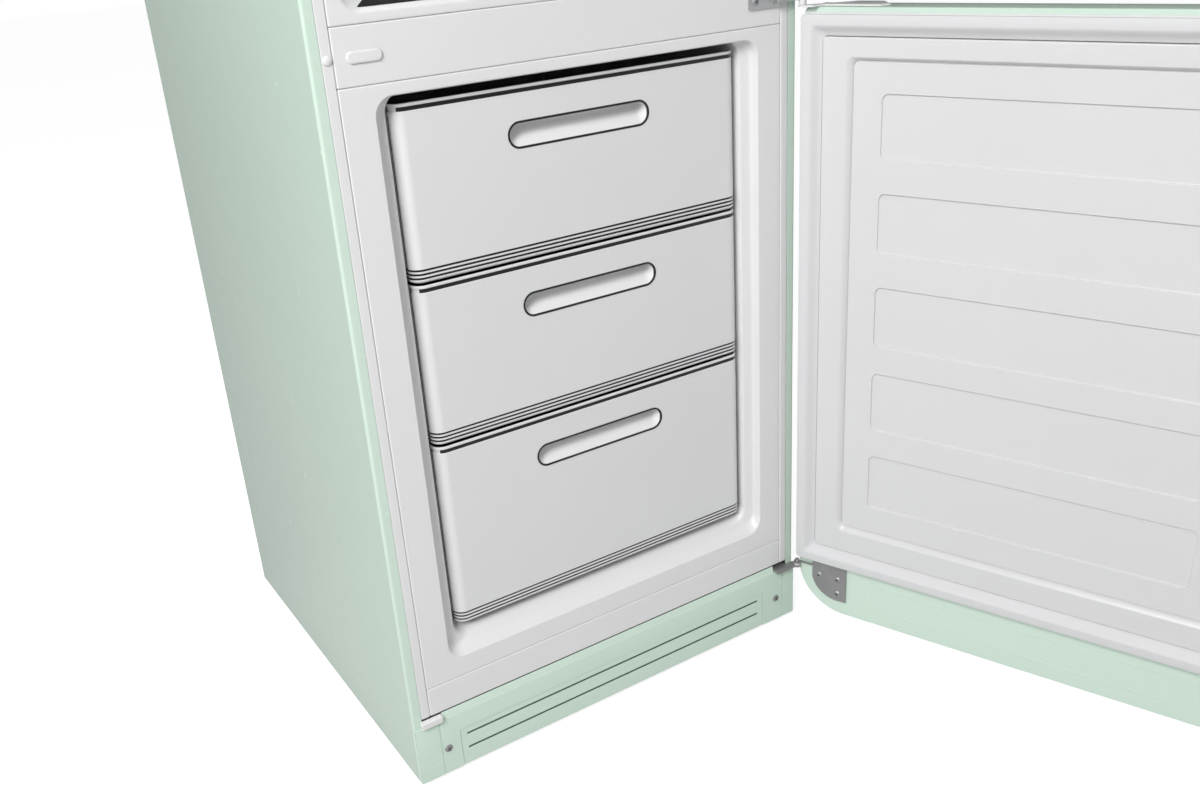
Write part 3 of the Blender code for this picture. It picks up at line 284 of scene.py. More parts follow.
# ---------------------------------------------------------------- mesh tools
def finished(name, mesh, mat, stands_for=None, on=CABINET, smooth=35.0):
    """Places a mesh as a piece that rides a body, and may stand for a CAD node."""
    body, place = on
    mesh.name = name
    mesh.transform(place)
    mesh.materials.clear()
    mesh.materials.append(mat)
    mesh.shade_smooth()
    mesh.set_sharp_from_angle(angle=math.radians(smooth))
    ob = bpy.data.objects.new(name, mesh)
    bpy.context.scene.collection.objects.link(ob)
    even = ob.modifiers.new("Weighted normals", "WEIGHTED_NORMAL")
    even.keep_sharp = True
    even.weight = 80
    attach(ob, body)
    if stands_for:
        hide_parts(stands_for)


def to_mesh(bm):
    mesh = bpy.data.meshes.new("piece")
    bm.to_mesh(mesh)
    bm.free()
    return mesh


def evaluated(ob):
    bpy.context.view_layer.update()
    depsgraph = bpy.context.evaluated_depsgraph_get()
    mesh = bpy.data.meshes.new_from_object(ob.evaluated_get(depsgraph))
    bpy.data.objects.remove(ob, do_unlink=True)
    return mesh


def temporary(data):
    ob = bpy.data.objects.new("temporary", data)
    bpy.context.scene.collection.objects.link(ob)
    return ob


def is_level(edge, within=1e-7):
    return abs(edge.verts[0].co.z - edge.verts[1].co.z) < within


def soften(bm, edges, width, segments=2):
    bmesh.ops.bevel(bm, geom=edges, offset=width, segments=segments, profile=0.5, affect="EDGES")


def boxed(x0, x1, y0, y1, z0, z1, edge=0.0, segments=3):
    """A box with rounded edges."""
    bm = bmesh.new()
    middle = ((x0 + x1) / 2, (y0 + y1) / 2, (z0 + z1) / 2)
    size = Matrix.Diagonal((x1 - x0, y1 - y0, z1 - z0, 1.0))
    bmesh.ops.create_cube(bm, size=1.0, matrix=Matrix.Translation(middle) @ size)
    if edge:
        soften(bm, bm.edges[:], edge, segments)
    return to_mesh(bm)


def rod(start, end, r, sides=32, edge=0.0):
    a, b = Vector(start), Vector(end)
    turn = (b - a).to_track_quat("Z", "Y").to_matrix().to_4x4()
    bm = bmesh.new()
    bmesh.ops.create_cone(bm, cap_ends=True, segments=sides, radius1=r, radius2=r, depth=(b - a).length)
    if edge:
        soften(bm, [e for e in bm.edges if is_level(e)], edge)
    bmesh.ops.transform(bm, matrix=Matrix.Translation((a + b) / 2) @ turn, verts=bm.verts)
    return to_mesh(bm)


def lathe(profile, steps, place=None):
    """A turned mesh about z from (radius, height) points that run down its outer side."""
    bm = bmesh.new()
    rows = []
    for r, z in profile:
        if r < 1e-6:
            rows.append([bm.verts.new((0, 0, z))])
        else:
            angles = [2 * math.pi * i / steps for i in range(steps)]
            rows.append([bm.verts.new((r * math.cos(a), r * math.sin(a), z)) for a in angles])
    for a, b in zip(rows, rows[1:]):
        for i in range(steps):
            j = (i + 1) % steps
            if len(a) == 1:
                bm.faces.new((a[0], b[i], b[j]))
            elif len(b) == 1:
                bm.faces.new((a[j], a[i], b[0]))
            else:
                bm.faces.new((a[i], b[i], b[j], a[j]))
    mesh = to_mesh(bm)
    if place:
        mesh.transform(place)
    return mesh


def joined(meshes):
    bm = bmesh.new()
    for mesh in meshes:
        bm.from_mesh(mesh)
    return to_mesh(bm)


def boolean(mesh, other, operation="DIFFERENCE"):
    base, tool = temporary(mesh), temporary(other)
    mod = base.modifiers.new("Boolean", "BOOLEAN")
    mod.operation = operation
    mod.solver = "EXACT"
    mod.object = tool
    result = evaluated(base)
    bpy.data.objects.remove(tool, do_unlink=True)
    return result


def thick(mesh, thickness, side):
    """A sheet given a wall: side is -1 or 1 for the way that the wall grows."""
    ob = temporary(mesh)
    mod = ob.modifiers.new("Solidify", "SOLIDIFY")
    mod.thickness = thickness
    mod.offset = side
    mod.use_even_offset = True
    mod.use_quality_normals = True
    return evaluated(ob)


def arc(u, v, r, start, steps):
    """Points along a quarter circle, from a start angle in degrees."""
    angles = [math.radians(start + 90 * i / steps) for i in range(steps + 1)]
    return [(u + r * math.cos(a), v + r * math.sin(a)) for a in angles]


def quarter(steps):
    """1 - sin and 1 - cos over a quarter turn."""
    angles = [math.radians(90 * i / steps) for i in range(steps + 1)]
    return [(1 - math.sin(a), 1 - math.cos(a)) for a in angles]


def rounded(x0, x1, z0, z1, radii, segments=10):
    """Outline of a rectangle with rounded corners."""
    if not isinstance(radii, tuple):
        radii = (radii,) * 4
    corners = ((x0, z0, 1, 1, 180), (x1, z0, -1, 1, 270), (x1, z1, -1, -1, 0), (x0, z1, 1, -1, 90))
    points = []
    for (x, z, sx, sz, start), r in zip(corners, radii):
        points += arc(x + sx * r, z + sz * r, r, start, segments)
    return points


def inset_rounded(x, low, high, inset, r, segments=8):
    """The same, centred on the cabinet's middle plane and drawn in all round."""
    return rounded(-x + inset, x - inset, low + inset, high - inset, r, segments)


def arch(offset, low_z):
    """Outline of the cabinet's front, open below, drawn in by an offset."""
    side, top, r = HALF - offset, CAB_H - offset, TOP_R - offset
    points = [(side, low_z)]
    for sx, start in ((1, 0), (-1, 90)):
        points += arc(sx * (side - r), top - r, r, start, 20)
    return points + [(-side, low_z)]


def upright(points, y):
    return [Vector((x, y, z)) for x, z in points]


def level(points, z):
    return [Vector((x, y, z)) for x, y in points]


def loft(rings, closed=True, cap=False, loop=False):
    """Faces between rings of as many points; loop joins the last ring to the first."""
    bm = bmesh.new()
    rows = [[bm.verts.new(p) for p in ring] for ring in rings]
    pairs = list(zip(rows, rows[1:]))
    if loop:
        pairs.append((rows[-1], rows[0]))
    count = len(rows[0])
    for a, b in pairs:
        for i in range(count if closed else count - 1):
            j = (i + 1) % count
            bm.faces.new((a[i], a[j], b[j], b[i]))
    if cap:
        bm.faces.new(rows[-1])
    if loop:
        bmesh.ops.recalc_face_normals(bm, faces=bm.faces)
    return to_mesh(bm)


def draw(curve, points):
    spline = curve.splines.new("POLY")
    spline.points.add(len(points) - 1)
    for point, co in zip(spline.points, points):
        point.co = (*co, 1.0)
    return spline


def slab(outlines, thickness, y_front, edge=0.0):
    """A plate standing in the front, from outlines in x and z, with softened edges."""
    curve = bpy.data.curves.new("slab", "CURVE")
    curve.dimensions = "2D"
    curve.fill_mode = "BOTH"
    curve.extrude = thickness / 2
    for points in outlines:
        draw(curve, [(u, v, 0.0) for u, v in points]).use_cyclic_u = True
    mesh = evaluated(temporary(curve))
    bm = bmesh.new()
    bm.from_mesh(mesh)
    bmesh.ops.remove_doubles(bm, verts=bm.verts, dist=0.00001)
    bmesh.ops.recalc_face_normals(bm, faces=bm.faces)
    if edge:
        sharp = [e for e in bm.edges if len(e.link_faces) == 2 and e.calc_face_angle() > 1.0]
        soften(bm, [e for e in sharp if is_level(e, 1e-6)], edge)
    mesh = to_mesh(bm)
    turn = Matrix(((1, 0, 0, 0), (0, 0, 1, 0), (0, 1, 0, 0), (0, 0, 0, 1)))
    mesh.transform(Matrix.Translation((0.0, y_front + thickness / 2, 0.0)) @ turn)
    mesh.flip_normals()
    return mesh


def tube(points, radius, sides):
    curve = bpy.data.curves.new("tube", "CURVE")
    curve.dimensions = "3D"
    curve.bevel_depth = radius
    curve.bevel_resolution = sides
    curve.use_fill_caps = True
    draw(curve, points)
    return evaluated(temporary(curve))


def smooth_path(points):
    """Points along a smooth curve through the given ones."""
    steps = 6
    path = []
    last = len(points) - 1
    for i in range(last):
        p0 = Vector(points[max(i - 1, 0)])
        p1 = Vector(points[i])
        p2 = Vector(points[i + 1])
        p3 = Vector(points[min(i + 2, last)])
        for s in range(steps):
            t = s / steps
            path.append(
                0.5 * (2 * p1 + (p2 - p0) * t + (2 * p0 - 5 * p1 + 4 * p2 - p3) * t * t
                       + (3 * p1 - p0 - 3 * p2 + p3) * t * t * t)
            )
    path.append(Vector(points[-1]))
    return path


def to_front(x, y, z, degrees=90):
    """Carries a lathed mesh to a point and turns its upper end to the front."""
    return Matrix.Translation((x, y, z)) @ Matrix.Rotation(math.radians(degrees), 4, "X")


def screw(x, y, z, facing, r, on, name, mat=SCREW_STEEL):
    """A domed cross-head screw, its cross recess drawn as black bars of painted shade; facing is -1 towards
    the front and 1 towards the back.
    """
    dome = ((0.0, 0.42), (0.45, 0.38), (0.8, 0.24), (1.0, 0.06), (1.0, -0.1), (0.0, -0.1))
    seat = to_front(x, y, z, 90 if facing < 0 else -90)
    finished(name, lathe([(u * r, v * r) for u, v in dome], 24, seat), mat, on=on)
    arms = []
    for angle in (20, 110):
        bar = boxed(-0.58 * r, 0.58 * r, -0.11 * r, 0.11 * r, 0.1 * r, 0.425 * r, 0.04 * r, 1)
        bar.transform(seat @ Matrix.Rotation(math.radians(angle), 4, "Z"))
        arms.append(bar)
    finished(name + "_cross_shade", joined(arms), BLACK, on=on)


# ---------------------------------------------------------------- cabinet
def cabinet_shell():
    rings = [upright(arch(RETURN_W, BOTTOM), 0.0)]
    rings += [upright(arch(EDGE_R * s, BOTTOM), EDGE_R * c) for s, c in quarter(8)]
    for offset, y in ((0.0, CAB_D * 0.5), (0.0, CAB_D - 0.0012), (0.0008, CAB_D)):
        rings.append(upright(arch(offset, BOTTOM), y))
    finished("wrap", thick(loft(rings, closed=False), SHEET, 1), ENAMEL, "cabinet_wrap")

    outline = arch(RETURN_W + GAP, FRIDGE_TOP + GAP)
    finished("header", slab([outline], 0.0015, 0.0, 0.0006), ENAMEL, "top_header")


def front_strips():
    """White strips round the liner frames, and the plugs of the unused holes."""
    outer = HALF - RETURN_W - GAP
    for side, sx in SIDES:
        a, b = sorted((sx * outer, sx * (outer - TRIM_W)))
        mesh = boxed(a, b, 0.0, STRIP_T, PLINTH_TOP, FRIDGE_TOP, STRIP_R, 4)
        finished(f"strip_{side}", mesh, TRIM, f"side_trim_{side}")
    for name, node, z0, z1 in (
        ("rail", "bottom_rail", PLINTH_TOP, FRAME_LOW - GAP),
        ("mullion", "mullion_cover", FRAME_MID + GAP, FRIDGE_LOW - GAP),
    ):
        finished(name, boxed(-FRAME_X, FRAME_X, 0.0, STRIP_T, z0, z1, STRIP_R, 4), TRIM, node)

    x, half_w = -HALF + 0.0555, 0.0185
    rings = []
    for inset, rise in ((0.0, 0.0), (0.0002, 0.0012), (0.001, 0.0019), (0.0024, 0.0022)):
        x0, x1 = x - half_w + inset, x + half_w - inset
        ring = rounded(x0, x1, SPLIT - 0.0055 + inset, SPLIT + 0.0065 - inset, 0.0058 - inset)
        rings.append(upright(ring, -GAP - rise))
    finished("plug_oval", loft(rings, cap=True), TRIM, "oval_plug")
    profile = [(0, 0.0021), (0.002, 0.00195), (0.0036, 0.0014), (0.0047, 0.0006), (0.005, 0.0), (0, 0)]
    button = lathe(profile, 28, to_front(-HALF + 0.0185, -GAP, SPLIT + 0.0005))
    finished("plug_round", button, TRIM, "round_plug")
    z0, z1 = PLINTH_TOP - 0.0097, PLINTH_TOP - GAP
    mesh = boxed(-HALF + 0.009, -HALF + 0.037, -0.0085, -GAP, z0, z1, 0.0018, 4)
    finished("cap_left", mesh, TRIM, "hinge_cap")


def plinth():
    """Painted plinth: chamfered top, stepped ends, a recessed grille with two slots."""
    face, inner = -0.0033, -GAP
    top, seat = PLINTH_TOP, PLINTH_TOP - 0.01
    step = HALF - 0.0375
    notch_x, notch_z = HALF - 0.058, BOTTOM + 0.055
    left, right = -HALF + 0.0005, HALF - 0.0005
    outline = [
        (left, BOTTOM), (-notch_x, BOTTOM), (-notch_x, notch_z), (notch_x, notch_z), (notch_x, BOTTOM),
        (right, BOTTOM), (right, seat), (step, seat), (step, top - GAP), (-step, top - GAP),
        (-step, seat), (left, seat),
    ]
    mesh = slab([outline], inner - face, face)
    wedge = [
        (face - 0.001, top + 0.001), (face - 0.001, top - 0.0104), (face, top - 0.0104),
        (-0.0019, top - 0.007), (-0.0019, top - 0.005), (-0.0004, top - 0.0006), (-0.0004, top + 0.001),
    ]
    bm = bmesh.new()
    rows = [[bm.verts.new((x, y, z)) for y, z in wedge] for x in (-HALF, HALF)]
    for i in range(len(wedge)):
        j = (i + 1) % len(wedge)
        bm.faces.new((rows[0][i], rows[0][j], rows[1][j], rows[1][i]))
    bm.faces.new(rows[0])
    bm.faces.new(rows[1])
    bmesh.ops.recalc_face_normals(bm, faces=bm.faces)
    mesh = boolean(mesh, to_mesh(bm))
    # upright joint lines near both ends
    for x in (-HALF + 0.032, HALF - 0.021):
        groove = boxed(x - 0.0007, x + 0.0007, face - 0.001, face + 0.0009, BOTTOM - 0.01, seat - 0.004)
        mesh = boolean(mesh, groove)
    finished("plinth", mesh, ENAMEL, "plinth_cover")

    border, slot_x, slot_h = 0.0005, notch_x - 0.009, 0.0017
    outlines = [rounded(-notch_x + border, notch_x - border, BOTTOM, notch_z - border, 0.001, 2)]
    shadows = []
    for rise in (0.0233, 0.0443):
        z0, z1 = BOTTOM + rise - slot_h, BOTTOM + rise + slot_h
        outlines.append(rounded(-slot_x, slot_x, z0, z1, 0.0016, 4)[::-1])
        shadows.append(boxed(-slot_x, slot_x, face + 0.002, face + 0.0026, z0, z1))
    finished("grille", slab(outlines, 0.002, face + 0.0008, 0.0003), ENAMEL, "plinth_grille")
    # painted shadow: dark green plates behind the slots
    for i, mesh in enumerate(shadows):
        finished(f"grille_shadow_{i}", mesh, SLOT_SHADOW)
    for i, x in enumerate((-HALF + 0.0404, HALF - 0.034)):
        screw(x, face - 0.0001, BOTTOM + 0.036, -1, 0.0052, CABINET, f"plinth_screw_{i}", ZINC)


def liner(front, stations, back):
    """A liner through stations of half width, floor, ceiling, corner radius and depth.

    Front is the frame's lower and upper edge; back is the rear wall's half width, floor, ceiling and depth.
    """
    low, high = front
    lip = ((0, 0.0016), (0.0005, 0.0005), (0.0016, 0.0))
    rows = [(FRAME_X - i, low + i, high - i, 0.0012, y) for i, y in lip]
    w, low, high, depth = back
    rows += stations
    rows += [(w - i, low + i, high - i, r, depth - y)
             for i, r, y in ((0, WALL_R, 0.012), (0.004, 0.009, 0.004), (0.01, 0.006, 0.0))]
    rings = [upright(rounded(-x, x, low, high, r), y) for x, low, high, r, y in rows]
    return thick(loft(rings, cap=True), PLASTIC, -1)


def ledges(name, w, inner, y0, y1, z0, z1, edge, segments):
    """A ledge on each side wall."""
    for side, sx in SIDES:
        a, b = sorted((sx * (w - inner), sx * (w + 0.001)))
        finished(f"{name}_{side[0]}", boxed(a, b, y0, y1, z0, z1, edge, segments), WHITE)


def freezer_liner():
    """Frame and compartment, with a rounded step behind the mouth and a hump over the compressor."""
    m, w, r = MOUTH_X - 0.004, FREEZER_X, MOUTH_R
    low, high = FRAME_LOW + 0.0274, FRAME_MID - 0.013
    rise, ceil = FREEZER_FLOOR, FREEZER_CEIL
    stations = [
        (m + 0.0016, low - 0.0016, high + 0.0014, r + 0.0012, 0.0),
        (m + 0.0006, low - 0.0006, high + 0.0006, r + 0.0005, 0.0005),
        (m - 0.0002, low + 0.0014, high - 0.0003, r, 0.0022),
        (m - 0.0007, low + 0.0085, high - 0.0005, r, 0.0096),
        (m - 0.0014, low + 0.0106, high - 0.0009, r, 0.0114),
        (m - 0.0034, low + 0.0122, high - 0.0018, r, 0.0124),
        (w + 0.004, low + 0.0142, ceil + 0.0054, r, 0.0144),
        (w + 0.0014, low + 0.0152, ceil + 0.0048, r, 0.0153),
        (w + 0.0003, low + 0.0172, ceil + 0.0044, 0.019, 0.0172),
        (w, low + 0.022, ceil + 0.0034, 0.017, 0.022),
        (w, rise - 0.005, ceil + 0.0018, 0.015, 0.028),
        (w, rise - 0.001, ceil + 0.0004, 0.013, 0.0315),
        (w, rise, ceil, WALL_R, 0.034),
        (w, rise, ceil, WALL_R, HUMP_Y),
        (w, rise + HUMP_H, ceil, WALL_R, HUMP_Y + 0.025),
    ]
    mesh = liner((FRAME_LOW, FRAME_MID), stations, (w, rise + HUMP_H, ceil, FREEZER_D))
    finished("freezer_cell", mesh, WHITE, "freezer_liner", smooth=50.0)
    runners = (("top", FREEZER_D - 0.03), ("middle", FREEZER_D - 0.03), ("bottom", HUMP_Y - 0.004))
    for i, (name, back) in enumerate(runners):
        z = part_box(f"{name}_drawer_front")[0].z - GAP
        ledges(f"runner_{i}", w, 0.011, 0.052, back, z - 0.0034, z, 0.001, 2)


def fridge_liner():
    m, w, r = MOUTH_X + 0.016, FRIDGE_X, MOUTH_R
    low, high = FRIDGE_LOW + 0.0105, FRIDGE_TOP - 0.023
    floor, ceil = FRIDGE_FLOOR, FRIDGE_CEIL
    stations = [
        (m + 0.0025, low - 0.002, high + 0.0025, r + 0.0015, 0.0),
        (m + 0.0008, low - 0.0007, high + 0.0008, r + 0.0005, 0.0006),
        (m - 0.001, low + 0.001, high - 0.001, r, 0.0022),
        (m - 0.003, low + 0.003, high - 0.003, r, 0.0045),
        (w + 0.002, floor - 0.002, ceil + 0.003, 0.015, 0.018),
        (w + 0.0004, floor - 0.0004, ceil + 0.0006, 0.0125, 0.0225),
        (w, floor, ceil, WALL_R, 0.026),
    ]
    mesh = liner((FRIDGE_LOW, FRIDGE_TOP - GAP), stations, (w, floor, ceil, FRIDGE_D))
    finished("fridge_cell", mesh, WHITE, "fridge_liner", smooth=50.0)
    # painted shade: a black strip lying on the slope behind the sill stands for the dark gap there
    line = boxed(-m + 0.01, m - 0.01, 0.0, 0.011, 0.0, 0.0006, 0.0002, 1)
    line.transform(to_front(0, 0.005, low + 0.0038, 36))
    finished("fridge_sill_shadow", line, BLACK)
    for name in SHELVES:
        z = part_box(f"{name}_glass")[0].z - GAP
        ledges(f"{name}_ledge", w, 0.012, 0.125, FRIDGE_D - 0.032, z - 0.008, z, 0.003, 4)


def fridge_fittings():
    w = FRIDGE_X - GAP
    for name in SHELVES:
        a, b = cad_box(f"{name}_glass")
        finished(f"{name}_pane", boxed(-w, w, a.y, b.y, a.z, b.z, 0.0012, 2), GLASS, f"{name}_glass")
        a, b = cad_box(f"{name}_trim")
        mesh = boxed(-w + 0.001, w - 0.001, a.y, b.y, a.z, b.z, 0.003, 5)
        finished(f"{name}_strip", mesh, TRIM, f"{name}_trim")
        z = (a.z + b.z) / 2
        mesh = boxed(-w + 0.012, w - 0.012, a.y - 0.0001, a.y + 0.0006, z - 0.0012, z + 0.0012)
        finished(f"{name}_inlay", mesh, CHROME)

    a, b = cad_box("air_duct_cover")
    mesh = boxed(-0.085, 0.085, a.y, b.y, a.z, b.z, 0.008, 5)
    for i in range(5):
        for k in (-1, 0, 1):
            z = a.z + (b.z - a.z) * (i + 0.5) / 5 + 0.009 * k
            mesh = boolean(mesh, boxed(-0.045, 0.045, a.y - 0.003, a.y + 0.006, z - 0.002, z + 0.002))
    finished("duct", mesh, WHITE, "air_duct_cover")

    top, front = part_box("lamp_housing")[1].z, 0.145
    mesh = boxed(-0.095, 0.095, front, 0.33, top - 0.026, top, 0.006, 5)
    finished("lamp_case", mesh, TRIM, "lamp_housing")
    finished("lamp_lens", boxed(-0.075, 0.075, 0.18, 0.315, top - 0.0298, top - 0.022, 0.0035, 4), LENS)

    a, b = cad_box("thermostat_knob")
    x, z = (a.x + b.x) / 2, (a.z + b.z) / 2
    front -= GAP
    profile = [(0, 0.0162), (0.0082, 0.016), (0.009, 0.015), (0.01, 0.003), (0.0105, 0.0), (0, 0)]
    finished("knob", lathe(profile, 36, to_front(x, front, z)), PEARL, "thermostat_knob", KNOB)
    mesh = boxed(x - 0.0018, x + 0.0018, front - 0.0185, front - 0.004, z - 0.0085, z + 0.0085, 0.0006, 2)
    finished("knob_grip", mesh, PEARL, on=KNOB)


def dish(x, y0, y1, steps, wall, segments=8):
    """An open tray from its rim down: each step is an inset, a corner radius and a height."""
    rings = [level(inset_rounded(x, y0, y1, inset, r, segments), z) for inset, r, z in steps]
    return thick(loft(rings, cap=True), wall, 1)


def cooling_unit():
    """Rear sheet, pan, feet, compressor and condenser."""
    a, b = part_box("rear_panel")
    y = CAB_D - 0.03
    finished("back_sheet", slab([arch(SHEET + GAP, a.z)], SHEET, y), GALV, "rear_panel")
    y += SHEET
    for i in range(5):
        z = a.z + 0.16 + i * (b.z - a.z - 0.3) / 4
        mesh = boxed(-HALF + 0.05, HALF - 0.05, y - 0.0002, y + 0.0012, z - 0.006, z + 0.006, 0.0012, 2)
        finished(f"back_bead_{i}", mesh, GALV)

    a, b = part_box("base_tray")
    steps = ((0.0, 0.006, b.z), (0.0, 0.006, a.z + 0.003), (0.003, 0.004, a.z))
    finished("pan", dish(HALF - SHEET - GAP, 0.012, CAB_D - 0.002, steps, 0.0015, 6), GALV, "base_tray")

    top = BOTTOM + 0.018 - GAP
    profile = [
        (0, top), (0.006, top), (0.0062, top - 0.001), (0.0062, 0.0145), (0.012, 0.0135), (0.016, 0.0105),
        (0.0192, 0.0085), (0.02, 0.0065), (0.02, 0.0012), (0.0188, 0.0), (0, 0),
    ]
    for end, foot_y in (("front", 0.055), ("rear", CAB_D - 0.05)):
        for side, sx in SIDES:
            mesh = lathe(profile, 32, Matrix.Translation((sx * (HALF - 0.045), foot_y, 0.0)))
            finished(f"leveller_{end}_{side}", mesh, FOOT, f"foot_{end}_{side}")

    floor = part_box("compressor")[0].z
    yc = (HUMP_Y + 0.03 + CAB_D) / 2
    profile = [
        (0, 0.17), (0.02, 0.1695), (0.04, 0.166), (0.056, 0.158), (0.067, 0.146), (0.073, 0.13),
        (0.0745, 0.118), (0.0745, 0.098), (0.0775, 0.0975), (0.0775, 0.0925), (0.074, 0.092),
        (0.074, 0.05), (0.07, 0.036), (0.058, 0.023), (0.03, 0.0145), (0, 0.013),
    ]
    mesh = lathe(profile, 48, Matrix.Translation((-0.1, yc, floor)))
    finished("compressor_pot", mesh, BLACK_PAINT, "compressor")
    for name, x0, x1, dy, z0, z1, edge, segments, mat in (
        ("compressor_plate", -0.205, 0.005, 0.045, 0.0, 0.004, 0.001, 2, BLACK_PAINT),
        ("compressor_neck", -0.13, -0.07, 0.03, 0.002, 0.025, 0.004, 2, BLACK_PAINT),
        ("terminal_box", -0.045, 0.0, 0.025, 0.06, 0.115, 0.004, 3, FOOT),
    ):
        finished(name, boxed(x0, x1, yc - dy, yc + dy, floor + z0, floor + z1, edge, segments), mat)
    for i, dx in enumerate((-0.19, -0.01)):
        for k, dy in enumerate((-0.034, 0.034)):
            mesh = lathe([(0, 0.01), (0.006, 0.01), (0.007, 0.009), (0.007, 0.0), (0, 0)], 20)
            mesh.transform(Matrix.Translation((dx, yc + dy, floor + 0.004)))
            finished(f"mount_bolt_{i}_{k}", mesh, ZINC)
    pipe = [
        (-0.16, yc + 0.045, floor + 0.085), (-0.19, yc + 0.055, floor + 0.1),
        (-0.215, yc + 0.06, floor + 0.16), (-0.225, yc + 0.062, floor + 0.23),
        (-0.215, CAB_D - 0.034, floor + 0.3),
    ]
    finished("pipe", tube(smooth_path(pipe), 0.003, 3), COPPER)

    rows, bend, reach = 9, 0.022, HALF - 0.085
    low = FREEZER_FLOOR + HUMP_H + 0.06
    pitch = (CAB_H - 0.25 - low) / (rows - 1)
    depth = y + GAP + 0.003
    points = []
    for i in range(rows):
        z = low + pitch * i
        sx = 1 if i % 2 else -1
        points += [(-sx * reach, depth, z), (sx * reach, depth, z)]
        if i < rows - 1:
            for step in range(1, 10):
                angle = math.pi * step / 10
                rise = pitch * (1 - math.cos(angle)) / 2
                points.append((sx * (reach + bend * math.sin(angle)), depth, z + rise))
    finished("condenser_tube", tube(points, 0.003, 3), BLACK_PAINT, "condenser")
    wires, y = [], depth + 0.0036
    for i in range(22):
        x = -reach + 2 * reach * (i + 0.5) / 22
        wires.append(tube([(x, y, low - 0.02), (x, y, low + pitch * (rows - 1) + 0.02)], 0.0008, 1))
    finished("condenser_wires", joined(wires), BLACK_PAINT)


# ---------------------------------------------------------------- hinges
def eye(z0, z1, r=EYE_R, edge=0.0004):
    return rod((AXIS_X, AXIS_Y, z0), (AXIS_X, AXIS_Y, z1), r, sides=32, edge=edge)


def hinge_brackets():
    t, plate_y, arm_y = 0.004, -0.0033, -0.0118
    washer, pin = 0.0017, 0.0085
    inner, behind = HALF - 0.037, HALF - RETURN_W - 0.0015
    z = HINGE_Z
    mesh = boxed(inner, AXIS_X, arm_y, -0.0005, z, z + t, 0.0007, 2)
    finished("lower_tongue", mesh, ZINC, "bottom_hinge_bracket")
    parts = [
        boxed(inner, behind, -0.002, 0.042, z, z + t, 0.0005, 1),
        boxed(inner, behind, 0.039, 0.042, BOTTOM + 0.0215, z + 0.001, 0.0005, 1),
        eye(z, z + t),
    ]
    finished("lower_tongue_back", joined(parts), ZINC)
    finished("lower_washer", eye(z + t, z + t + washer, EYE_R * 0.98), TRIM)
    finished("lower_pin", eye(z + t, z + t + pin, PIN_R, 0.0006), NICKEL)

    z = SPLIT - 0.002
    x0, x1 = HALF - 0.074, HALF - 0.027
    mesh = boxed(x0, x1, plate_y, -GAP, z - 0.005, z + 0.015, 0.0007, 2)
    finished("middle_plate", mesh, NICKEL, "middle_hinge_bracket")
    parts = [boxed(x1 - 0.012, AXIS_X, arm_y, -0.0008, z, z + t, 0.0006, 2), eye(z, z + t)]
    finished("middle_arm", joined(parts), NICKEL)
    finished("middle_pin", eye(FDOOR_TOP + GAP + 0.0002, RDOOR_LOW - GAP - 0.0002, PIN_R), NICKEL)
    finished("middle_collar", eye(FDOOR_TOP + 0.0029, RDOOR_LOW - 0.0036, EYE_R * 0.9), TRIM)
    for i, x in enumerate((x0 + 0.009, x1 - 0.009)):
        screw(x, plate_y - 0.0001, z + 0.0035, -1, 0.005, CABINET, f"middle_screw_{i}")

    z = RDOOR_TOP - HINGE_RISE
    mesh = boxed(x0, x1, plate_y, -GAP, z - 0.004, z + 0.03, 0.0007, 2)
    finished("upper_plate", mesh, ZINC, "top_hinge_bracket")
    parts = [boxed(x1 - 0.01, AXIS_X, arm_y, -0.0005, z - t, z, 0.0006, 2), eye(z - t, z)]
    finished("upper_arm", joined(parts), ZINC)
    finished("upper_washer", eye(z - t - washer, z - t, EYE_R * 0.98), TRIM)
    finished("upper_pin", eye(z - t - pin, z + 0.001, PIN_R, 0.0006), NICKEL)
    for i, x in enumerate((x0 + 0.011, x1 - 0.012)):
        screw(x, plate_y - 0.0001, z + 0.018, -1, 0.0042, CABINET, f"upper_screw_{i}", ZINC)


def hinge_leaf(node, door_end, up, on):
    """A quarter-round plate on the painted skirt, its arm and three screws; up is 1 or -1."""
    y, t, sides = DOOR_IN + GAP, 0.0025, 32
    arm = door_end + up * (HINGE_RISE + 0.006)
    z0, z1 = sorted((arm, arm + up * t))
    near, far = HALF - 0.022, HALF - 0.074
    foot, head = door_end + up * 0.022, arm + up * 0.01
    wide, high = (near - far) * 0.75, up * 0.62 * abs(head - foot)
    outline = [(far, foot)] + [(near - wide * s, foot + high * c) for s, c in quarter(18)]
    outline += [(near, head), (far, head)]
    if up < 0:
        outline = outline[::-1]
    finished(node + "_plate", slab([outline], t, y, 0.0005), ZINC, node, on)
    parts = [boxed(near - 0.01, AXIS_X - 0.003, y, y + 0.003, z0, z1, 0.0005, 2)]
    turns = [2 * math.pi * i / sides for i in range(sides)]
    rings = []
    for r, z in ((EYE_R, z0), (EYE_R, z1), (PIN_R + PIN_PLAY, z1), (PIN_R + PIN_PLAY, z0)):
        rings.append(level([(AXIS_X + r * math.cos(a), AXIS_Y + r * math.sin(a)) for a in turns], z))
    parts.append(loft(rings, loop=True))
    finished(node + "_arm", joined(parts), ZINC, on=on)
    for i, (side, rise) in enumerate(((0.061, 0.057), (0.061, 0.034), (0.033, 0.057))):
        screw(HALF - side, y + t + 0.0001, door_end + up * rise, 1, 0.0048, on, f"{node}_screw_{i}")


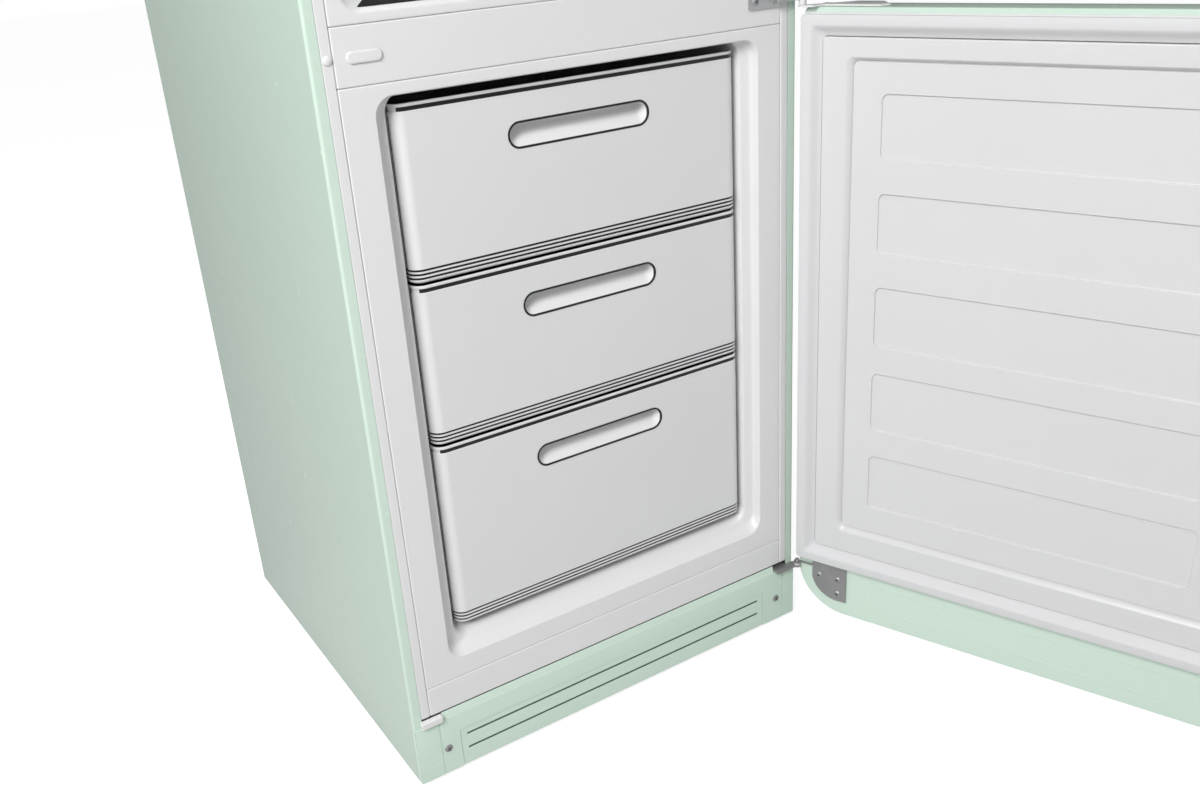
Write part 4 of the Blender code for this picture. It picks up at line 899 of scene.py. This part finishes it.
def flat_leaf(node, z0, z1, length, mat, on):
    """A flat leaf on a door's end, with its eye round the middle hinge's pin."""
    front, end = AXIS_Y - 0.046, HALF - length
    outline = [
        (AXIS_X - 0.002, AXIS_Y + 0.0048), (AXIS_X - 0.016, AXIS_Y + 0.0048),
        (AXIS_X - 0.022, DOOR_IN - 0.004), (end, DOOR_IN - 0.004),
        (end - 0.008, DOOR_IN - 0.014), (end + 0.01, front),
        (HALF - 0.05, front), (HALF - 0.02, DOOR_IN - 0.014), (AXIS_X - 0.002, AXIS_Y - 0.0048),
    ]
    bm = bmesh.new()
    face = bm.faces.new([bm.verts.new((x, y, z0)) for x, y in outline])
    grown = bmesh.ops.extrude_face_region(bm, geom=[face])["geom"]
    raised = [v for v in grown if isinstance(v, bmesh.types.BMVert)]
    bmesh.ops.translate(bm, vec=(0, 0, z1 - z0), verts=raised)
    bmesh.ops.recalc_face_normals(bm, faces=bm.faces)
    rims = [e for e in bm.edges if is_level(e)]
    bmesh.ops.bevel(bm, geom=rims, offset=0.0004, segments=1, affect="EDGES")
    mesh = boolean(to_mesh(bm), eye(z0, z1, EYE_R, 0.0), "UNION")
    ends = [(AXIS_X, AXIS_Y, z) for z in (z0 - 0.002, z1 + 0.002)]
    finished(node + "_plate", boolean(mesh, rod(*ends, PIN_R + PIN_PLAY, sides=24)), mat, node, on)


# ---------------------------------------------------------------- drawers
def drawer(name):
    """Front with its lip and ribs, black strips of painted groove shade, grip and bin."""
    node = f"{name}_drawer_front"
    on = (f"{name}_drawer", PLACE)
    z0, z1 = (corner.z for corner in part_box(node))

    def around(offset, z):
        """The front's plan, moved out by an offset, at one height."""
        x, r = DRAWER_X + offset, DRAWER_R + offset
        y = DRAWER_Y - offset
        points = [(-x, DRAWER_Y + DRAWER_WRAP)]
        for sx, start in ((-1, 180), (1, 270)):
            points += arc(sx * (x - r), y + r, r, start, 12)
        points.append((x, DRAWER_Y + DRAWER_WRAP))
        return level(points, z)

    def line(offset, low, high, wall, first=None, last=None):
        """A strip round the front between two heights."""
        rows = [around(offset, z)[first:last] for z in (high, low)]
        return thick(loft(rows, closed=False), wall, 1)

    # down the front: lip, smooth field, then ribs
    ribs = [z0 + RIB_Z - RIB_PITCH * i for i in range(RIBS)]
    profile = [
        (-0.0022, z1 + 0.0008), (-0.0014, z1 + 0.0014), (-0.0004, z1 + 0.001), (0.0, z1),
        (-0.0002, z1 - 0.0016), (-0.0012, z1 - 0.002), (-0.0014, z1 - 0.0024),
        (-0.0014, z1 - 0.006), (-0.0006, z1 - 0.0064), (0.0, z1 - 0.0072), (0.0, z0 + 0.0158),
    ]
    for z in ribs:
        groove = ((-0.0001, 0.0014), (-0.0014, 0.0011), (-0.0014, -0.0011), (-0.0001, -0.0014), (0, -0.0017))
        profile += [(offset, z + dz) for offset, dz in groove]
    profile += [(0.0, z0 + 0.0028), (-0.001, z0 + 0.0014), (-0.0026, z0 + 0.0004), (-0.0034, z0)]
    mesh = thick(loft([around(offset, z) for offset, z in profile], closed=False), 0.001, 1)
    centre = z1 - GRIP_DROP
    hw, hh = GRIP_W / 2, GRIP_H / 2
    low, high = centre - hh, centre + hh
    mesh = boolean(mesh, slab([rounded(-hw, hw, low, high, hh - 0.0001, 16)], 0.02, DRAWER_Y - 0.01))
    finished(f"{name}_front", mesh, PEARL, node, on, 40.0)
    # painted shade as black strips: one in the groove under the lip, short of the corners, and one in each
    # rib's groove
    finished(f"{name}_lip_groove_shade", line(-0.0007, z1 - 0.0062, z1 - 0.0022, 0.0006, 8, -5), BLACK, on=on)
    lines = [line(-0.0009, z - RIB_HALF, z + RIB_HALF, 0.0003) for z in ribs]
    finished(f"{name}_rib_groove_shades", joined(lines), BLACK, on=on)
    # painted shade: a thin dark grey strip down each side of the front stands for the shaded gap beside the
    # drawer
    y = DRAWER_Y + DRAWER_R - 0.0016
    for side, sx in SIDES:
        a, b = sorted((sx * (DRAWER_X + 0.0001), sx * (DRAWER_X - 0.0006)))
        mesh = boxed(a, b, y, y + 0.0016, z0 + 0.002, z1 - 0.002, 0.0002, 1)
        finished(f"{name}_edge_shade_{side}", mesh, EDGE_SHADE, on=on)

    # grip: dark ring, then a scoop deepest under the upper edge
    section = (
        (0, 0.0012), (0, -0.0003), (0.0003, -0.0005), (0.002, -0.0005), (0.0024, -0.0002), (0.0024, 0.0016),
    )
    rings = []
    for inset, y in section:
        rings.append(upright(inset_rounded(hw, low, high, inset, hh - inset - 0.0001, 16), DRAWER_Y + y))
    finished(f"{name}_grip_ring", loft(rings, loop=True), BLACK, on=on)
    rings = []
    rim, steps = 0.0023, 12
    for i in range(steps + 1):
        t = i / steps
        depth = GRIP_D * (0.25 * t + 0.75 * math.sin(t * math.pi / 2))
        side = rim + 0.006 * t * t
        lower, upper = low + rim + GRIP_H * 0.66 * t ** 0.8, high - (rim + 0.0008 * t * t)
        r = min((upper - lower) / 2 - 0.0001, hh - 0.0025)
        rings.append(upright(rounded(-hw + side, hw - side, lower, upper, r, 16), DRAWER_Y + 0.0006 + depth))
    mesh = thick(loft(rings, cap=True), 0.0008, -1)
    finished(f"{name}_scoop", mesh, WHITE, f"{name}_drawer_grip", on, 60.0)

    a, b = cad_box(f"{name}_drawer_bin")
    steps = []
    foot = ((0.0, 0.0, a.z + 0.005), (0.0015, 0.001, a.z + 0.0015), (0.004, 0.002, a.z))
    for inset, less, z in ((0.0, 0.0, b.z), *foot):
        steps.append((inset, tuple(r - less for r in (0.005, 0.005, 0.014, 0.014)), z))
    mesh = dish(DRAWER_X - PLASTIC - GAP, a.y, b.y, steps, PLASTIC)
    finished(f"{name}_bin", mesh, WHITE, f"{name}_drawer_bin", on)


def crisper():
    a, b = cad_box("crisper_drawer")
    x = FRIDGE_X - 0.012 - 0.0012
    steps = []
    foot = ((0.003, a.z + 0.006), (0.0045, a.z + 0.0015), (0.007, a.z))
    for inset, z in ((0.0, b.z), (0.0004, b.z - 0.006), *foot):
        steps.append((inset, 0.016 - inset * 0.4, z))
    finished("crisper_tray", dish(x, a.y, b.y, steps, 0.003), CLEAR, "crisper_drawer", CRISPER)
    mesh = boxed(-x + 0.016, x - 0.016, a.y + 0.0032, a.y + 0.0058, a.z + 0.01, b.z - 0.004, 0.0012, 2)
    finished("crisper_panel", mesh, PEARL, on=CRISPER)
    # painted shade: a black strip along the foot of the crisper's front stands for the dark gap beneath it
    mesh = boxed(-x + 0.01, x - 0.01, a.y + 0.0006, a.y + 0.0034, a.z + 0.0075, a.z + 0.0185, 0.0008, 2)
    finished("crisper_foot_shadow", mesh, BLACK, on=CRISPER)


# ---------------------------------------------------------------- doors
def door_shell(node, z0, z1, radii, skirt_low, skirt_high, on):
    """Painted skin: inner face round the seal, rolled edge and outer face."""

    def outline(offset):
        shrunk = tuple(max(r - offset, 0.0025) for r in radii)
        return inset_rounded(HALF, z0, z1, offset, shrunk, 16)

    window = rounded(-HALF + 0.02, HALF - 0.02, z0 + skirt_low, z1 - skirt_high, 0.008, 16)
    rings = [upright(window, DOOR_IN)]
    for offset, dy in ((0.0022, 0.0), (0.0009, 0.0003), (0.0002, 0.0011), (0.0, 0.0022)):
        rings.append(upright(outline(offset), DOOR_IN - dy))
    rings += [upright(outline(DOOR_R * c), DOOR_OUT + DOOR_R * s) for s, c in quarter(12)]
    finished(f"{on[0]}_skin", thick(loft(rings, cap=True), SHEET, -1), ENAMEL, node, on)


def emboss(name, low, high, on):
    """A shallow pressed rectangle's raised rim on the painted inner face."""
    rings = []
    for inset, dy in ((0.0, 0.0), (0.0008, 0.0003), (0.002, 0.0003), (0.0028, 0.0)):
        rings.append(upright(inset_rounded(HALF - 0.1, low, high, inset, 0.004, 6), DOOR_IN + dy))
    finished(name, loft(rings), ENAMEL, on=on)


def gasket(node, z0, z1, on):
    near, far = DOOR_IN + GAP, -GAP
    middle = (near + far) / 2
    section = [
        (0.0, near), (0.0, near + 0.0018), (0.0022, near + 0.003), (0.0028, middle - 0.001),
        (0.0012, middle + 0.0015), (0.001, far - 0.0016), (0.0022, far), (0.012, far),
        (0.0145, far - 0.001), (0.0175, far - 0.0036), (0.0205, near + 0.0086),
        (0.0235, near + 0.007), (0.0255, near + 0.006), (GASKET_W, near),
    ]
    rings = [upright(inset_rounded(GASKET_X, z0, z1, inset, 0.006, 6), y) for inset, y in section]
    finished(f"{on[0]}_seal", loft(rings, loop=True), SEAL, node, on, 50.0)


def freezer_inner(z0, z1, on):
    """Inner moulding of the freezer door with its five sunk panels."""
    near, top = LINER_Y, LINER_Y + 0.006
    # each step is an inset, a depth, a corner radius and how far the upper end reaches up
    steps = (
        (0.0263, near - 0.001, 0.003, 0), (0.0268, top - 0.0006, 0.003, 0), (0.0276, top, 0.003, 0),
        (0.0284, top, 0.003, 0), (0.056, top, 0.01, 0.01), (0.059, top - 0.0006, 0.009, 0.01),
        (0.062, near + 0.0018, 0.009, 0.011), (0.0634, near + 0.0006, 0.008, 0.011),
        (0.0638, near - 0.0014, 0.008, 0.011), (0.0648, near - 0.0016, 0.008, 0.011),
        (0.0652, near - 0.0001, 0.008, 0.011), (0.066, near, 0.008, 0.011), (0.068, near, 0.008, 0.011),
    )
    rings = [upright(inset_rounded(GASKET_X, z0, z1 + more, inset, r), y) for inset, y, r, more in steps]
    mesh = thick(loft(rings, cap=True), 0.0042, 1)
    section = (
        (-0.0006, 0.001, 0.009), (-0.0006, 0.0001, 0.009), (0.0, -0.0003, 0.0084),
        (0.0002, -0.0022, 0.008), (0.0006, -0.0028, 0.0076), (0.0016, -0.003, 0.0066),
    )
    for low, high in ((0.675, 0.752), (0.559, 0.634), (0.436, 0.516), (0.319, 0.4), (0.204, 0.282)):
        cut = []
        for inset, dy, r in section:
            outline = inset_rounded(HALF - 0.101, low + BOTTOM, high + BOTTOM, inset, r)
            cut.append(upright(outline[::-1], near + dy))
        bm = bmesh.new()
        bm.from_mesh(loft(cut, cap=True))
        bm.verts.ensure_lookup_table()
        bm.faces.new([bm.verts[i] for i in range(len(cut[0]))][::-1])
        bmesh.ops.recalc_face_normals(bm, faces=bm.faces)
        mesh = boolean(mesh, to_mesh(bm))
    finished(f"{on[0]}_moulding", mesh, DOOR_WHITE, "freezer_door_liner", on, 45.0)


def fridge_inner(z0, z1, on):
    """Inner moulding of the fridge door, with ribs that the balconies hang between."""
    near = LINER_Y
    steps = (
        (0.0265, near - 0.0005, 0.008), (0.059, near, 0.01), (0.0613, near + 0.0008, 0.01),
        (0.0626, near + 0.003, 0.01), (0.0675, 0.024, 0.01), (0.0688, 0.0275, 0.011),
        (0.0708, 0.0295, 0.012), (0.073, 0.03, 0.012), (0.0775, 0.03, 0.012), (0.08, 0.0295, 0.012),
        (0.0825, 0.0275, 0.012), (0.084, 0.024, 0.012), (0.0885, near + 0.006, 0.012),
        (0.0895, near + 0.0032, 0.012), (0.092, near + 0.002, 0.012),
    )
    rings = [upright(inset_rounded(GASKET_X, z0, z1, inset, r), y) for inset, y, r in steps]
    mesh = thick(loft(rings, cap=True), 0.002, 1)
    finished(f"{on[0]}_moulding", mesh, DOOR_WHITE, "fridge_door_liner", on, 45.0)


def handle(node, z0, z1, on):
    """A bent bow with a rose at each foot and two bands."""
    body = on[0]
    x, face, bend = -HALF + 0.058, DOOR_OUT - GAP, 0.02
    out = face - 0.034
    points = [(x, face, z0)]
    points += [(x, out + bend * s, z0 + bend * c) for s, c in quarter(12)]
    points += [(x, out + bend * c, z1 - bend * s) for s, c in quarter(12)]
    points.append((x, face, z1))
    finished(f"{body}_bow", tube(points, 0.0085, 8), CHROME, node, on, 60.0)
    profile = [
        (0.0084, 0.0085), (0.0098, 0.0078), (0.0112, 0.0064), (0.0128, 0.0052), (0.0146, 0.0044),
        (0.015, 0.0034), (0.015, 0.0), (0, 0),
    ]
    for i, z in enumerate((z0, z1)):
        finished(f"{body}_rose_{i}", lathe(profile, 40, to_front(x, face, z)), CHROME, on=on)
    for i, z in enumerate((z0 + 0.045, z1 - 0.045)):
        band = lathe([(0.0086, 0.0016), (0.0091, 0.0012), (0.0091, -0.0012), (0.0086, -0.0016)], 32)
        band.transform(Matrix.Translation((x, out, z)))
        finished(f"{body}_band_{i}", band, CHROME, on=on)


def freezer_door():
    on = FREEZER_DOOR
    z0, z1 = FDOOR_LOW + SKIRT_H, FDOOR_TOP - GASKET_END
    radii = (TOP_R, TOP_R, 0.006, 0.006)
    door_shell("freezer_door_shell", FDOOR_LOW, FDOOR_TOP, radii, SKIRT_H + 0.02, 0.02, on)
    gasket("freezer_door_gasket", z0, z1, on)
    freezer_inner(z0, z1, on)
    hinge_leaf("freezer_hinge_leaf", FDOOR_LOW, 1, on)
    flat_leaf("freezer_top_leaf", FDOOR_TOP + GAP, FDOOR_TOP + GAP + 0.0022, 0.092, TRIM, on)
    handle("freezer_door_handle", FDOOR_TOP - 0.3, FDOOR_TOP - 0.08, on)
    emboss("freezer_skirt_panel", FDOOR_LOW + 0.022, z0 - 0.022, on)


def fridge_door():
    on = FRIDGE_DOOR
    z0, z1 = RDOOR_LOW + GASKET_END, RDOOR_TOP - SKIRT_H
    radii = (0.006, 0.006, TOP_R, TOP_R)
    door_shell("fridge_door_shell", RDOOR_LOW, RDOOR_TOP, radii, 0.02, SKIRT_H + 0.02, on)
    gasket("fridge_door_gasket", z0, z1, on)
    fridge_inner(z0, z1, on)
    hinge_leaf("fridge_hinge_leaf", RDOOR_TOP, -1, on)
    flat_leaf("fridge_bottom_leaf", RDOOR_LOW - GAP - 0.003, RDOOR_LOW - GAP, 0.1, BLACK_PLATE, on)
    handle("fridge_door_handle", RDOOR_LOW + 0.08, RDOOR_LOW + 0.33, on)
    emboss("fridge_skirt_panel", z1 + 0.022, RDOOR_TOP - 0.022, on)

    x = GASKET_X - RIB_IN - 2 * GAP
    y0 = LINER_Y + 0.002 + GAP
    y1 = y0 + BALCONY_D
    for name in ("bottle_balcony", "middle_balcony", "dairy_balcony"):
        lo, hi = (corner.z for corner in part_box(name))
        steps = []
        foot = ((0.001, lo + 0.01), (0.0022, lo + 0.004), (0.004, lo + 0.001), (0.006, lo))
        for inset, z in ((0.0, hi), (0.0002, hi - 0.004), *foot):
            steps.append((inset, 0.02 - inset, z))
        finished(name + "_tray", dish(x, y0, y1, steps, PLASTIC), CLEAR, name, on)
        # white band round the tray's upper edge
        out = 0.0004
        plan = rounded(-x - out, x + out, y0 + 0.004, y1 + out, 0.02, 8)
        band = [level(plan, z) for z in (hi - 0.004, hi - 0.024)]
        finished(name + "_band", thick(loft(band), 0.0003, 1), TRIM, on=on)
    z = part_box("dairy_lid")[0].z
    mesh = boxed(-x + 0.002, x - 0.002, y0 + 0.0045, y1 - 0.001, z, z + 0.003, 0.0012, 3)
    finished("lid_pane", mesh, CLEAR, "dairy_lid", DAIRY_LID)
    mesh = boxed(-0.04, 0.04, y1 - 0.01, y1 - 0.0012, z + 0.0028, z + 0.005, 0.001, 2)
    finished("lid_grip", mesh, TRIM, on=DAIRY_LID)


# ---------------------------------------------------------------- studio
AMBIENT, FLOOR_GLOW, FLOOR_SEEN = 0.24, 0.08, 0.84
LIGHTS = (  # name, place, target, size and power
    ("key", (-2.2, -1.5, 2.3), (-0.1, 0.0, 0.6), (1.1, 1.1), 83.0),
    ("top", (-0.4, -1.3, 3.0), (-0.1, 0.0, 0.5), (1.6, 1.2), 5.0),
    ("fill", (1.7, -2.0, 1.7), (0.1, 0.0, 0.6), (1.2, 1.2), 4.0),
)
YAW, PITCH, ROLL = 0.554, 0.4191, -0.0661
CAMERA_FROM_CORNER = Vector((-0.3802, -1.0887, 0.997))


def by_ray(tree, unseen, seen, socket):
    """One strength for the light that a surface gives, and another for how the camera sees it."""
    path = add(tree, "LightPath").outputs["Is Camera Ray"]
    span = add(tree, "MapRange", Value=path, To_Min=unseen, To_Max=seen)
    tree.links.new(span.outputs["Result"], socket)


def studio():
    """White surround, pale floor and three soft lights."""
    scene = bpy.context.scene
    scene.view_settings.view_transform = "Standard"
    scene.view_settings.look = "None"
    world = bpy.data.worlds.new("studio")
    world.use_nodes = True
    background = world.node_tree.nodes["Background"]
    background.inputs["Color"].default_value = (1.0, 1.0, 1.0, 1.0)
    by_ray(world.node_tree, AMBIENT, 1.0, background.inputs["Strength"])
    scene.world = world

    bm = bmesh.new()
    bmesh.ops.create_grid(bm, x_segments=1, y_segments=1, size=14.0)
    floor = bpy.data.objects.new("floor", to_mesh(bm))
    mat, shader = shader_of("floor_white", (0.55, 0.55, 0.55), 0.7)
    shader.inputs["Specular IOR Level"].default_value = 0.1
    shader.inputs["Emission Color"].default_value = (1.0, 1.0, 1.0, 1.0)
    by_ray(mat.node_tree, FLOOR_GLOW, FLOOR_SEEN, shader.inputs["Emission Strength"])
    floor.data.materials.append(mat)
    scene.collection.objects.link(floor)

    for name, where, target, size, energy in LIGHTS:
        data = bpy.data.lights.new(name, "AREA")
        data.shape = "RECTANGLE"
        data.size, data.size_y = size
        data.energy = energy
        ob = bpy.data.objects.new(name, data)
        ob.location = where
        ob.rotation_euler = (Vector(target) - Vector(where)).to_track_quat("-Z", "Y").to_euler()
        scene.collection.objects.link(ob)


def camera():
    """The viewpoint, given from the cabinet's lower left front corner."""
    corner = Vector(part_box("cabinet_wrap")[0])
    data = bpy.data.cameras.new("camera")
    data.sensor_width = 36.0
    data.lens = 35.05
    data.shift_y = 0.0018
    data.clip_start = 0.01
    flat = math.cos(PITCH)
    forward = Vector((math.sin(YAW) * flat, math.cos(YAW) * flat, -math.sin(PITCH)))
    side = forward.cross(Vector((0, 0, 1))).normalized()
    up = side.cross(forward)
    right = side * math.cos(ROLL) + up * math.sin(ROLL)
    upward = -side * math.sin(ROLL) + up * math.cos(ROLL)
    turn = Matrix((right, upward, -forward)).transposed().to_4x4()
    ob = bpy.data.objects.new("camera", data)
    ob.matrix_world = Matrix.Translation(corner + CAMERA_FROM_CORNER) @ turn
    bpy.context.scene.collection.objects.link(ob)
    bpy.context.scene.camera = ob


camera()
studio()
cabinet_shell()
front_strips()
plinth()
freezer_liner()
fridge_liner()
fridge_fittings()
cooling_unit()
hinge_brackets()
for which in ("top", "middle", "bottom"):
    drawer(which)
crisper()
freezer_door()
fridge_door()
